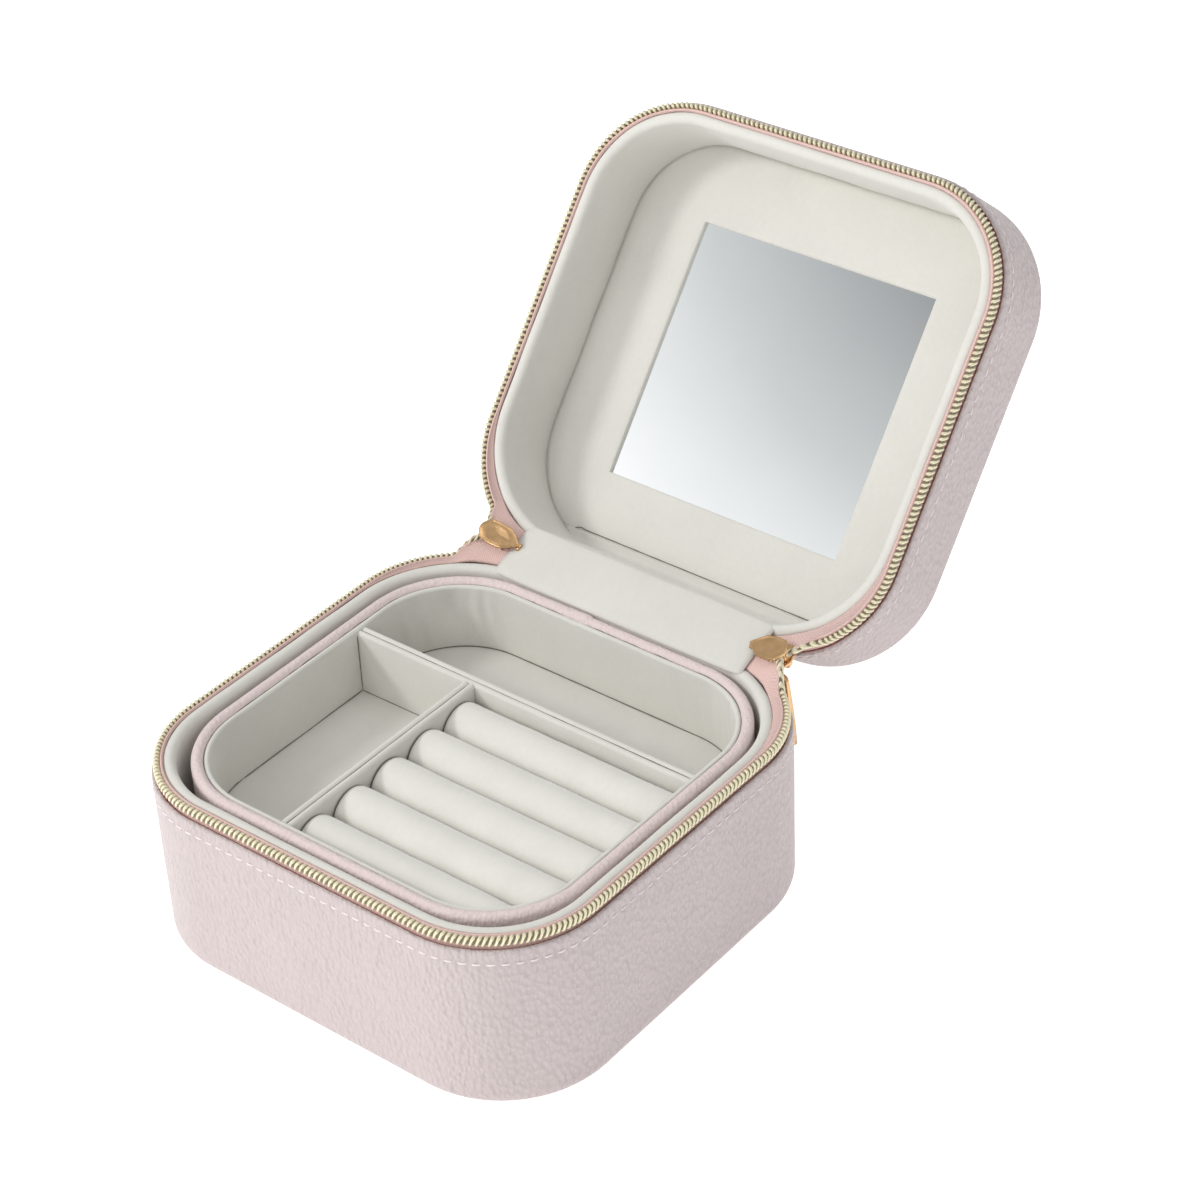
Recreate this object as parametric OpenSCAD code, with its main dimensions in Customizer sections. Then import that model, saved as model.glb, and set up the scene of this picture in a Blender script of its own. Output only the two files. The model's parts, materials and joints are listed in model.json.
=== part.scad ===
// Square zip-around jewelry case with a mirror lid, a lift-out tray and ring rolls.
// The origin is the centre of the underside of the base, +Y is the hinge side, +Z is up.
// Everything on the lid is drawn with the lid shut and is then swung open about the hinge line.

/* [Case] */
// Outside width of the case
case_w = 125; // [122:1:130]
// Outside depth of the case
case_d = 121; // [118:1:126]
// Outside radius of the upright corners
corner_r = 29; // [28:0.5:30]
// Height of the leather side of the base
base_h = 44.4; // [43.4:0.2:47]
// Height of the leather side of the lid
lid_h = 22; // [21:0.5:25]
// Thickness of the leather cover
leather_t = 1.2; // [1:0.1:1.2]
// Outside radius of the lower edge of the base and of the upper edge of the lid
edge_r = 3; // [2.5:0.5:4]

/* [Hinge] */
// Angle of the lid from shut
open_angle = 129.2; // [120:0.2:132]
// Distance of the hinge line behind the rear face
hinge_back = 1.35; // [1.2:0.05:1.6]
// Distance of the hinge line below the plane where the two halves meet
hinge_drop = 0.85; // [0.7:0.05:1]
// Half width of the lining flap that covers the hinge inside
flap_half = 38; // [34:1:39]

/* [Zip] */
// Height of one half of the open band between the two leather edges
zip_half = 4.4; // [4.4:0.1:5]
// Width of one half of the coil
coil_w = 2.75; // [2.4:0.05:2.8]
// Thickness of the coil
coil_t = 1.8; // [1.6:0.1:1.8]
// Place of each slider round its rear corner, from straight back
slider_turn = 17.5; // [15:0.5:20]
// Length of a slider
slider_len = 11.6; // [10.5:0.1:12]
// Width of the outer plate of a slider
slider_w = 8; // [7.6:0.1:8.2]
// Width of the inner plate of a slider
slider_inner_w = 6.6; // [6:0.1:6.8]
// Length of a pull tab below its ring
tab_len = 22; // [16:1:24]

/* [Lining] */
// Thickness of the padded lining walls
lining_t = 3.2; // [3:0.1:3.4]
// Outside radius of the lining at the rear corners
lining_rear_r = 30.7; // [30.5:0.1:31]
// Width of the square window in the lid panel
window_w = 70; // [60:1:76]
// Height of the square window in the lid panel
window_h = 68.2; // [58:1:74]

/* [Tray] */
// Gap between the tray and the lining wall
tray_gap = 1.4; // [1.2:0.1:1.6]
// Radius of the upright corners of the tray
tray_r = 26; // [25:0.5:27]
// Height of the underside of the tray above the table
tray_low = 24.5; // [20:0.5:26]
// Height of the rim of the tray above the table
tray_top = 47.5; // [46.5:0.5:47.5]
// Distance of the middle of the long divider behind the centre
long_divider_y = 17.6; // [15:0.2:20]
// Distance of the middle of the short divider left of the centre
short_divider_x = 14.8; // [12:0.2:18]
// Thickness of a divider
divider_t = 3.4; // [3:0.1:4]
// Height of the top of the ring rolls below the tray rim
roll_drop = 3; // [2.5:0.5:5]

/* [Hidden] */
$fn = 96;
part_z = base_h + zip_half;          // plane where the two halves meet
lid_low = part_z + zip_half;         // lower leather edge of the lid
lid_top = lid_low + lid_h;           // outside of the lid
hinge_y = case_d / 2 + hinge_back;
hinge_z = part_z - hinge_drop;

// Depths in from the outside face: leather, then tape or board, then lining
tape_t = 0.6;
board_in = 2.8;
tape_in = leather_t + tape_t;
lining_in = board_in + lining_t;
tray_in = lining_in + tray_gap;
flange_w = 12;
bottom_t = 1.6;
lining_floor_t = 1.6;
floor_z = leather_t + bottom_t;                  // underside of the lining of the base
hold_floor_z = floor_z + lining_floor_t;         // floor of the lower compartment
rim_gap = 0.5;                                   // each lining rim stops this far from the parting plane
tape_hidden = 9.4;                               // tape glued down behind the leather
tape_reach = 1.4;                                // tape edge stops this far from the parting plane
coil_gap = 0.15;
board_short = 4.8;
slider_relief = 3.7;                             // tape is trimmed this far from the parting plane there

// Lid layers, from the outside in
lid_board_t = 1.6;
panel_t = 2;
mirror_t = 1;
mirror_lap = 3;
lid_board_z = lid_top - leather_t - lid_board_t;
panel_z = lid_board_z - panel_t;

// Hinge coverings
flap_t = 0.6;
flap_down = 20;
flap_on_panel = 3.7;
spine_gap = 0.2;

// Tray layers
wrap_t = 0.8;
rim_t = 3;
tray_board_t = 1.4;
tray_lining_t = 1.4;
wrap_turn_in = 9.5;
tray_in_total = rim_t + tray_lining_t;
tray_w = case_w - 2 * tray_in;
tray_d = case_d - 2 * tray_in;
tray_board_z = tray_low + wrap_t;
tray_pad_z = tray_board_z + tray_board_t;
tray_floor_z = tray_pad_z + lining_floor_t;
tray_lining_top = tray_top - 1.3;
divider_top = tray_top - 1.5;
rest_t = 2.6;

// Ring rolls fill the space between the long divider and the front wall, one node each
rolls = 5;
roll_back_y = long_divider_y - divider_t / 2;
roll_front_y = -(tray_d / 2 - tray_in_total);
roll_pitch = (roll_back_y - roll_front_y) / rolls;
roll_r = roll_pitch / 2;
roll_left_x = -short_divider_x + divider_t / 2;
roll_top = tray_top - roll_drop;

// Zip hardware, measured from the middle of the coil
coil_mid_in = 1.7;
coil_low_in = coil_mid_in - coil_t / 2;
coil_path_r = corner_r - coil_mid_in;
coil_clear_turn = 24;
coil_end_y = case_d / 2 - corner_r + coil_path_r * cos(slider_turn + coil_clear_turn);
end_turn = 2.6;
end_size = [2.2, 2, 2.1];
slider_yaw = 14;
plate_t = 0.6;
inner_face = 1.2;
outer_face = 1.6;
relief_r = 34.5;                                 // pared outside radius of the lining behind a slider
narrow_share = 0.52;
shoulder_share = 0.62;
post_d = 1.6;
post_in = 2.2;
bridge_w = 1.5;
bridge_t = 0.8;
bridge_gap = 2.2;
bridge_half = 4.2;
bridge_y = outer_face + plate_t + bridge_gap + bridge_t / 2;
ring_in_r = 1.35;
ring_out_r = 2.2;
ring_w = 1.2;
tab_w = 6;
tab_t = 1.2;
tab_hole_d = 2.2;
neck_lap = 0.45;                                 // neck reaches this far into the ring's wall
hang_angle = 64.2;                               // from straight down to the pull's rest line
big = 400;

// Carries a wall section round a rounded square. The section's x runs inward from the outline
// and its y is the height.
module sweep(w, d, front_r, rear_r) {
    for (sx = [-1, 1], sy = [-1, 1]) {
        r = sy > 0 ? rear_r : front_r;
        turn = sy > 0 ? (sx > 0 ? 0 : 90) : (sx < 0 ? 180 : 270);
        translate([sx * (w / 2 - r), sy * (d / 2 - r), 0])
            rotate([0, 0, turn])
                rotate_extrude(angle = 90)
                    translate([r, 0]) mirror([1, 0]) children();
    }
    for (sx = [-1, 1])
        translate([sx * w / 2, d / 2 - rear_r, 0])
            mirror([sx < 0 ? 1 : 0, 0, 0])
                rotate([90, 0, 0])
                    linear_extrude(d - front_r - rear_r)
                        mirror([1, 0]) children();
    for (sy = [-1, 1]) {
        r = sy > 0 ? rear_r : front_r;
        translate([0, sy * d / 2, 0])
            rotate([90, 0, sy * 90])
                linear_extrude(w - 2 * r, center = true)
                    mirror([1, 0]) children();
    }
}

// Section carried round the case outline
module case_sweep() {
    sweep(case_w, case_d, corner_r, corner_r) children();
}

// Section carried round the outside of the padded lining
module lining_sweep() {
    sweep(case_w - 2 * board_in, case_d - 2 * board_in, corner_r - board_in, lining_rear_r) children();
}

// Section carried round the outside of the tray
module tray_sweep() {
    sweep(tray_w, tray_d, tray_r, tray_r) children();
}

// Flat rounded square
module plate(w, d, front_r, rear_r, h) {
    linear_extrude(h) {
        translate([-w / 2, front_r - d / 2]) square([w, d - front_r - rear_r]);
        translate([front_r - w / 2, -d / 2]) square([w - 2 * front_r, d / 2]);
        translate([rear_r - w / 2, 0]) square([w - 2 * rear_r, d / 2]);
        for (sx = [-1, 1], sy = [-1, 1]) {
            r = sy > 0 ? rear_r : front_r;
            translate([sx * (w / 2 - r), sy * (d / 2 - r)]) circle(r);
        }
    }
}

// Rounded square that lies this far inside the case outline
module case_plate(inset, z, h) {
    translate([0, 0, z])
        plate(case_w - 2 * inset, case_d - 2 * inset, corner_r - inset, corner_r - inset, h);
}

// Rounded square that lies this far inside the lining outline
module lining_plate(inset, z, h) {
    translate([0, 0, z])
        plate(case_w - 2 * (board_in + inset), case_d - 2 * (board_in + inset),
              corner_r - board_in - inset, lining_rear_r - inset, h);
}

// Rounded square that lies this far inside the tray outline
module tray_plate(inset, z, h) {
    translate([0, 0, z])
        plate(tray_w - 2 * inset, tray_d - 2 * inset, tray_r - inset, tray_r - inset, h);
}

// Upright strip with a round top
module round_top(x, w, z0, z1) {
    translate([x, z0]) square([w, z1 - z0 - w / 2]);
    translate([x + w / 2, z1 - w / 2]) circle(w / 2);
}

// Section of a leather side with a rolled edge at height 0 and a flange under it
module cover_section(h) {
    translate([0, edge_r]) square([leather_t, h - edge_r]);
    translate([edge_r, 0]) square([flange_w - edge_r, leather_t]);
    intersection() {
        square(edge_r);
        difference() {
            translate([edge_r, edge_r]) circle(edge_r);
            translate([edge_r, edge_r]) circle(edge_r - leather_t);
        }
    }
}

// Turns a section upside down about the parting plane, from the base to the lid
module over_parting() {
    translate([0, 2 * part_z]) mirror([0, 1]) children();
}

// Swings a part about the hinge line
module swing(angle) {
    translate([0, hinge_y, hinge_z])
        rotate([-angle, 0, 0])
            translate([0, -hinge_y, -hinge_z]) children();
}

module open_lid() {
    swing(open_angle) children();
}

module half_open() {
    swing(open_angle / 2) children();
}

// Keeps only the straight stretch at the rear, or all but that stretch
module rear_only(half) {
    intersection() {
        children();
        translate([-half, 0, -big / 2]) cube([2 * half, big, big]);
    }
}

module not_rear(half) {
    difference() {
        children();
        translate([-half, 0, -big / 2]) cube([2 * half, big, big]);
    }
}

// ---- Base ----

module base_cover() {
    color("#dfd1d0") case_sweep() cover_section(base_h);
}

module base_bottom_cover() {
    color("#d8c8c8") case_plate(flange_w, 0, leather_t);
}

module base_wall_section() {
    polygon([[leather_t, edge_r], [board_in, edge_r], [board_in, part_z - board_short],
             [tape_in, part_z - board_short], [tape_in, base_h - tape_hidden],
             [leather_t, base_h - tape_hidden]]);
}

module base_wall_board() {
    color("#b9a58a") case_sweep() base_wall_section();
}

module base_bottom_board() {
    color("#b9a58a") case_plate(board_in, leather_t, bottom_t);
}

// Pares the back of the lining at the rear corners, behind the sliders
module slider_room() {
    intersection() {
        children();
        translate([0, 0, -big / 2])
            plate(case_w - 2 * board_in, case_d - 2 * board_in, corner_r - board_in, relief_r, big);
    }
}

module base_lining_wall() {
    color("#dad9d4")
        slider_room() lining_sweep() round_top(0, lining_t, floor_z, part_z - rim_gap);
}

module base_lining_floor() {
    color("#d6d4ce") lining_plate(lining_t, floor_z, lining_floor_t);
}

// Lower ring of lining that the tray rests on
module tray_rest_frame() {
    color("#dad9d4")
        lining_sweep()
            translate([lining_t, hold_floor_z]) square([rest_t, tray_low - hold_floor_z]);
}

// Flat tape, glued behind the leather, whose edge stops this far from the parting plane
module tape_section(reach) {
    translate([leather_t, base_h - tape_hidden])
        square([tape_t, part_z - reach - base_h + tape_hidden]);
}

// Half of the coil, folded round the edge of the tape
module coil_section() {
    difference() {
        translate([coil_low_in, part_z - coil_gap - coil_w]) square([coil_t, coil_w]);
        tape_section(tape_reach);
    }
}

module before_slider() {
    intersection() {
        children();
        translate([-big / 2, coil_end_y - big, -big / 2]) cube([big, big, big]);
    }
}

module base_zip_tape() {
    color("#e1b4aa")
        not_rear(case_w / 2 - corner_r)
            union() {
                before_slider() case_sweep() tape_section(tape_reach);
                case_sweep() tape_section(slider_relief);
            }
}

module base_zip_coil() {
    color("#cdbb8a") before_slider() case_sweep() coil_section();
}

// Thin leather spine that bridges the two halves outside
module hinge_cover_lower() {
    color("#d8c4c4")
        rear_only(case_w / 2 - corner_r)
            case_sweep()
                translate([leather_t, base_h - tape_hidden])
                    square([tape_t, hinge_z - spine_gap - base_h + tape_hidden]);
}

// Lining flap on the inside of the rear wall
module hinge_lining_lower() {
    color("#dedcd6")
        rear_only(flap_half)
            lining_sweep()
                translate([lining_t, part_z - rim_gap - flap_down]) square([flap_t, flap_down]);
}

// ---- Lid, drawn shut and swung open ----

module lid_cover() {
    color("#cfc1c0")
        open_lid()
            case_sweep()
                translate([0, lid_top]) mirror([0, 1]) cover_section(lid_h);
}

module lid_top_cover() {
    color("#cfc1c0") open_lid() case_plate(flange_w, lid_top - leather_t, leather_t);
}

module lid_wall_board() {
    color("#b9a58a")
        open_lid()
            case_sweep()
                polygon([[tape_in, part_z + board_short], [board_in, part_z + board_short],
                         [board_in, lid_top - edge_r], [leather_t, lid_top - edge_r],
                         [leather_t, lid_low + tape_hidden], [tape_in, lid_low + tape_hidden]]);
}

module lid_top_board() {
    color("#b9a58a") open_lid() case_plate(board_in, lid_board_z, lid_board_t);
}

module lid_lining_wall() {
    color("#dad9d4")
        open_lid()
            slider_room()
                lining_sweep()
                    over_parting() round_top(0, lining_t, 2 * part_z - panel_z, part_z - rim_gap);
}

// Panel with the square window and, behind it, the pocket for the mirror
module lid_lining_panel() {
    color("#dcd9d4")
        open_lid()
            difference() {
                lining_plate(0, panel_z, panel_t);
                translate([-window_w / 2, -window_h / 2, panel_z - 1])
                    cube([window_w, window_h, panel_t + 2]);
                translate([-window_w / 2 - mirror_lap, -window_h / 2 - mirror_lap,
                           lid_board_z - mirror_t])
                    cube([window_w + 2 * mirror_lap, window_h + 2 * mirror_lap, mirror_t + 1]);
            }
}

module lid_mirror() {
    color("#c8d0d4")
        open_lid()
            translate([-window_w / 2 - mirror_lap, -window_h / 2 - mirror_lap,
                       lid_board_z - mirror_t])
                cube([window_w + 2 * mirror_lap, window_h + 2 * mirror_lap, mirror_t]);
}

module lid_zip_tape() {
    color("#e1b4aa")
        open_lid()
            not_rear(case_w / 2 - corner_r)
                union() {
                    before_slider() case_sweep() over_parting() tape_section(tape_reach);
                    case_sweep() over_parting() tape_section(slider_relief);
                }
}

module lid_zip_coil() {
    color("#cdbb8a") open_lid() before_slider() case_sweep() over_parting() coil_section();
}

module hinge_cover_upper() {
    color("#d8c4c4")
        open_lid()
            rear_only(case_w / 2 - corner_r)
                case_sweep()
                    translate([leather_t, hinge_z + spine_gap])
                        square([tape_t, lid_low + tape_hidden - hinge_z - spine_gap]);
}

module hinge_lining_upper() {
    color("#dedcd6")
        open_lid()
            rear_only(flap_half)
                lining_sweep()
                    translate([lining_t, 0])
                        polygon([[0, part_z + rim_gap], [flap_t, part_z + rim_gap],
                                 [flap_t, panel_z - flap_t], [flap_on_panel, panel_z - flap_t],
                                 [flap_on_panel, panel_z], [0, panel_z]]);
}

// ---- Tray ----

// Leather that wraps the outside of the tray, rolls over the rim and turns in
module tray_cover() {
    color("#e2cdcd")
        tray_sweep() {
            translate([0, tray_low]) square([wrap_t, tray_top - rim_t / 2 - tray_low]);
            difference() {
                translate([rim_t / 2, tray_top - rim_t / 2]) circle(rim_t / 2);
                translate([wrap_t, 0])
                    square([tray_board_t, tray_top - wrap_t]);
            }
            translate([wrap_t + tray_board_t, tray_top - wrap_turn_in])
                square([wrap_t, wrap_turn_in - rim_t / 2]);
        }
}

module tray_wall_board() {
    color("#b9a58a")
        tray_sweep()
            translate([wrap_t, tray_pad_z]) square([tray_board_t, tray_top - wrap_t - tray_pad_z]);
}

module tray_bottom_board() {
    color("#b9a58a") tray_plate(wrap_t, tray_board_z, tray_board_t);
}

module tray_bottom_cover() {
    color("#d6d4ce") tray_plate(wrap_t, tray_low, wrap_t);
}

// Lining inside the tray wall, thicker below the edge of the turned-in leather
module tray_lining_wall() {
    color("#d8d5cc")
        tray_sweep() {
            round_top(rim_t, tray_lining_t, tray_floor_z, tray_lining_top);
            translate([wrap_t + tray_board_t, tray_floor_z])
                square([wrap_t + tray_lining_t / 2, tray_top - wrap_turn_in - tray_floor_z]);
        }
}

module tray_lining_floor() {
    color("#d2d1cb") tray_plate(wrap_t + tray_board_t, tray_pad_z, lining_floor_t);
}

module tray_divider_long() {
    half = tray_w / 2 - tray_in_total;
    color("#e2e1dc")
        translate([-half, long_divider_y - divider_t / 2, tray_floor_z])
            cube([2 * half, divider_t, divider_top - tray_floor_z]);
}

module tray_divider_short() {
    color("#e2e1dc")
        translate([-short_divider_x - divider_t / 2, roll_front_y, tray_floor_z])
            cube([divider_t, roll_back_y - roll_front_y, divider_top - tray_floor_z]);
}

// Padded roll, counted from the long divider forward
module ring_roll(i) {
    roll_y = roll_back_y - (i - 0.5) * roll_pitch;
    color("#e8e5dc")
        intersection() {
            translate([roll_left_x, roll_y, 0])
                rotate([90, 0, 90])
                    linear_extrude(tray_w) {
                        translate([0, roll_top - roll_r]) circle(roll_r);
                        translate([-roll_r, tray_floor_z])
                            square([2 * roll_r, roll_top - roll_r - tray_floor_z]);
                    }
            tray_plate(tray_in_total, tray_floor_z - 1, tray_top);
        }
}

// ---- Zip hardware, drawn for the right rear corner with the lid shut ----

// Moves a part from the middle of the coil at the zip's end to its place on the corner
module on_corner(turn, yaw) {
    half_open()
        translate([case_w / 2 - corner_r + coil_path_r * sin(turn),
                   case_d / 2 - corner_r + coil_path_r * cos(turn), part_z])
            rotate([0, 0, -yaw]) children();
}

module on_left() {
    mirror([1, 0, 0]) children();
}

// Metal stop that holds the ends of the two coils together
module zip_end() {
    on_corner(end_turn, end_turn) cube(end_size, center = true);
}

// Outline of a slider plate: wide and round at the open end, narrow at the zip's end
module slider_outline(w) {
    narrow = w * narrow_share;
    shoulder_x = slider_len * (0.5 - shoulder_share);
    round_x = slider_len / 2 - w / 2;
    polygon([[-slider_len / 2, -narrow / 2], [-slider_len / 2, narrow / 2],
             [shoulder_x, w / 2], [round_x, w / 2], [round_x, -w / 2], [shoulder_x, -w / 2]]);
    translate([round_x, 0]) circle(w / 2);
}

module slider() {
    on_corner(slider_turn, slider_yaw) {
        translate([0, -inner_face, 0])
            rotate([90, 0, 0]) linear_extrude(plate_t) slider_outline(slider_inner_w);
        translate([0, outer_face + plate_t, 0])
            rotate([90, 0, 0]) linear_extrude(plate_t) slider_outline(slider_w);
        translate([slider_len / 2 - post_in, outer_face + plate_t / 2, 0])
            rotate([90, 0, 0]) cylinder(h = inner_face + outer_face + plate_t, d = post_d);
        slider_bridge();
    }
}

// Strap over the outer plate that carries the pull
module slider_bridge() {
    low = outer_face + plate_t / 2;
    translate([0, 0, -bridge_w / 2])
        linear_extrude(bridge_w)
            difference() {
                translate([-bridge_half, low]) square([2 * bridge_half, bridge_y + bridge_t / 2 - low]);
                translate([bridge_t - bridge_half, 0])
                    square([2 * (bridge_half - bridge_t), bridge_y - bridge_t / 2]);
            }
}

// Flat tab of a pull, hanging below its ring, with a neck between the two and a hole
module tab_outline() {
    top_z = -ring_out_r - tab_w / 2;
    low_z = tab_w / 2 - ring_out_r - tab_len;
    difference() {
        union() {
            translate([-ring_w / 2, top_z]) square([ring_w, tab_w / 2 + neck_lap]);
            translate([-tab_w / 2, low_z]) square([tab_w, top_z - low_z]);
            translate([0, low_z]) circle(tab_w / 2);
            translate([0, top_z]) circle(tab_w / 2);
        }
        translate([0, top_z]) circle(d = tab_hole_d);
    }
}

// Pull: a ring round the strap and a flat tab below it
module pull() {
    on_corner(slider_turn, slider_yaw)
        translate([0, bridge_y, 0])
            rotate([hang_angle, 0, 0]) {
                rotate([0, 90, 0])
                    difference() {
                        cylinder(h = ring_w, r = ring_out_r, center = true);
                        cylinder(h = ring_w + 1, r = ring_in_r, center = true);
                    }
                translate([0, tab_t / 2, 0])
                    rotate([90, 0, 0]) linear_extrude(tab_t) tab_outline();
            }
}

module zip_end_right() {
    color("#b9905a") zip_end();
}

module zip_end_left() {
    color("#b9905a") on_left() zip_end();
}

module slider_right() {
    color("#c08f5c") slider();
}

module slider_left() {
    color("#c08f5c") on_left() slider();
}

module pull_right() {
    color("#c08f5c") pull();
}

module pull_left() {
    color("#c08f5c") on_left() pull();
}

base_cover();
base_bottom_cover();
base_wall_board();
base_bottom_board();
base_lining_wall();
base_lining_floor();
tray_rest_frame();
base_zip_tape();
base_zip_coil();
hinge_cover_lower();
hinge_lining_lower();
lid_cover();
lid_top_cover();
lid_wall_board();
lid_top_board();
lid_lining_wall();
lid_lining_panel();
lid_mirror();
lid_zip_tape();
lid_zip_coil();
hinge_cover_upper();
hinge_lining_upper();
tray_cover();
tray_wall_board();
tray_bottom_board();
tray_bottom_cover();
tray_lining_wall();
tray_lining_floor();
tray_divider_long();
tray_divider_short();
ring_roll(1);  // ring_roll_1
ring_roll(2);  // ring_roll_2
ring_roll(3);  // ring_roll_3
ring_roll(4);  // ring_roll_4
ring_roll(5);  // ring_roll_5
zip_end_left();
zip_end_right();
slider_left();
slider_right();
pull_left();
pull_right();
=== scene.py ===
"""Square zip-around jewelry case with a mirror lid and a lift-out tray: its looks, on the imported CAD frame.

Everything is in metres in the row frame: the origin is under the middle of the base, +Y is the hinge side.
Pieces on the lid are drawn with the lid shut and are then swung open with OPEN_LID.
A depth is counted inward from an outline, s is a distance along it, and out is its outward normal.
"""
import json
import math

import bmesh
import bpy
from mathutils import Matrix, Vector, noise


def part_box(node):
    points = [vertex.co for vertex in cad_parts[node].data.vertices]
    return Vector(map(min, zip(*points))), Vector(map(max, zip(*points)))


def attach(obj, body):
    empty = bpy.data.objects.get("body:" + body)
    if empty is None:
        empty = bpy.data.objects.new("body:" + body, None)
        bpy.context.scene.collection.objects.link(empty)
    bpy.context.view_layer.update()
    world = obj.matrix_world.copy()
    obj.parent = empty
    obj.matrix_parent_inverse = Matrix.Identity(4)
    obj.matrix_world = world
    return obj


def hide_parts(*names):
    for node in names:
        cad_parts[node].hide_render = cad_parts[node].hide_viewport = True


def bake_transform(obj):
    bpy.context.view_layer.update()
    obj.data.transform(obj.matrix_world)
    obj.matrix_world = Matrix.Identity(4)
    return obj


MM = 0.001
UP = Vector((0, 0, 1))

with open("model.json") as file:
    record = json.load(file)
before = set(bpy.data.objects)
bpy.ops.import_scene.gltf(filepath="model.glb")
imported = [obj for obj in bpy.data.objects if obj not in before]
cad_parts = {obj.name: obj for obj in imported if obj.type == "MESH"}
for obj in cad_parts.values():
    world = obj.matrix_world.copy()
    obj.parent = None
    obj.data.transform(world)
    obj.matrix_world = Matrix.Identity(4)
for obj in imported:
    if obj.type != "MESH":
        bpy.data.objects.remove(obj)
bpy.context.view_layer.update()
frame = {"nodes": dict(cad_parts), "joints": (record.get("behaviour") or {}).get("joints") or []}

# ---- Sizes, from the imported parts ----

case_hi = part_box("base_cover")[1]
HALF_W, HALF_D = case_hi.x, case_hi.y
BASE_TOP = case_hi.z
CORNER_R = 29 * MM
LEATHER_T = 1.2 * MM
EDGE_R = 3 * MM
lining_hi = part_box("base_lining_wall")[1]
LINING_IN = HALF_W - lining_hi.x
RIM_TOP = lining_hi.z
PART_Z = RIM_TOP + 0.5 * MM
FLOOR_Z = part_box("base_lining_floor")[1].z
LINING_T = 3.2 * MM
LINING_REAR_R = 30.7 * MM
LID_LOW = 2 * PART_Z - BASE_TOP
LID_H = 22 * MM
LID_TOP = LID_LOW + LID_H
PANEL_Z = LID_TOP - 4.8 * MM
MIRROR_Z = PANEL_Z + 1 * MM
WINDOW_HALF = (35 * MM, 34.1 * MM)

tray_lo, tray_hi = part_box("tray_cover")
TRAY_HALF_W, TRAY_HALF_D, TRAY_R = tray_hi.x, tray_hi.y, 26 * MM
TRAY_LOW, TRAY_TOP = tray_lo.z, tray_hi.z
TRAY_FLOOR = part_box("tray_lining_floor")[1].z
TRAY_LINING_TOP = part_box("tray_lining_wall")[1].z
TRAY_RIM_T, TRAY_LINING_T = 3 * MM, 1.4 * MM
TRAY_INSET = TRAY_RIM_T + TRAY_LINING_T

# ---- Small sums ----


def clamp(x):
    return min(1.0, max(0.0, x))


def smooth(x):
    """0 to 1 with an easy start and end."""
    t = clamp(x)
    return t * t * (3 - 2 * t)


def circle(n):
    """Angles all the way round, the last of them back at the first."""
    return [2 * math.pi * k / n for k in range(n + 1)]


def distances(points):
    """How far along the line each of its points lies."""
    runs = [0.0]
    for a, b in zip(points, points[1:]):
        runs.append(runs[-1] + ((b - a).length if isinstance(a, Vector) else math.dist(a, b)))
    return runs


def heading(line, i):
    """Direction of a line at one of its points."""
    return (line[min(len(line) - 1, i + 1)] - line[max(0, i - 1)]).normalized()


# ---- The hinge ----

hinge = next(j for j in frame["joints"] if j["name"] == "lid_hinge")
HINGE = Vector(hinge["pos_m"])
OPEN_ANGLE = math.radians(-min(hinge["range_deg"]))


def about_hinge(angle):
    """Turn of this angle about the hinge line, positive towards open."""
    return Matrix.Translation(HINGE) @ Matrix.Rotation(-angle, 4, "X") @ Matrix.Translation(-HINGE)


OPEN_LID = about_hinge(OPEN_ANGLE)
HALF_OPEN = about_hinge(OPEN_ANGLE / 2)

# ---- Materials ----


BORDER_WARP = 0.3
ENDS = (0.3, 0.7)


def shade(colour, amount):
    """The colour made lighter or darker by this factor."""
    return tuple(min(1, c * amount) for c in colour)


class Nodes:
    """Short calls for the few node types that the materials and the world use."""

    def __init__(self, tree):
        self.tree = tree
        self.coords = self.node("ShaderNodeTexCoord")

    def node(self, kind, **inputs):
        made = self.tree.nodes.new(kind)
        for key, value in inputs.items():
            self.feed(made.inputs[key.replace("_", " ")], value)
        return made

    def feed(self, socket, value):
        """Links a socket, or gives it a value. A colour may leave out its alpha."""
        if isinstance(value, bpy.types.NodeSocket):
            self.tree.links.new(value, socket)
        else:
            socket.default_value = (*value, 1) if socket.type == "RGBA" else value

    def sum(self, kind, operation, *terms, output=0):
        made = self.node(kind)
        made.operation = operation
        for socket, term in zip(made.inputs, terms):
            self.feed(socket, term)
        return made.outputs[output]

    def ramp(self, factor, stops):
        made = self.node("ShaderNodeValToRGB", Fac=factor)
        ends = made.color_ramp.elements
        while len(ends) < len(stops):
            ends.new(0.5)
        for end, (place, colour) in zip(ends, stops):
            end.position = place
            end.color = (*colour, 1)
        return made.outputs["Color"]


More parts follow.
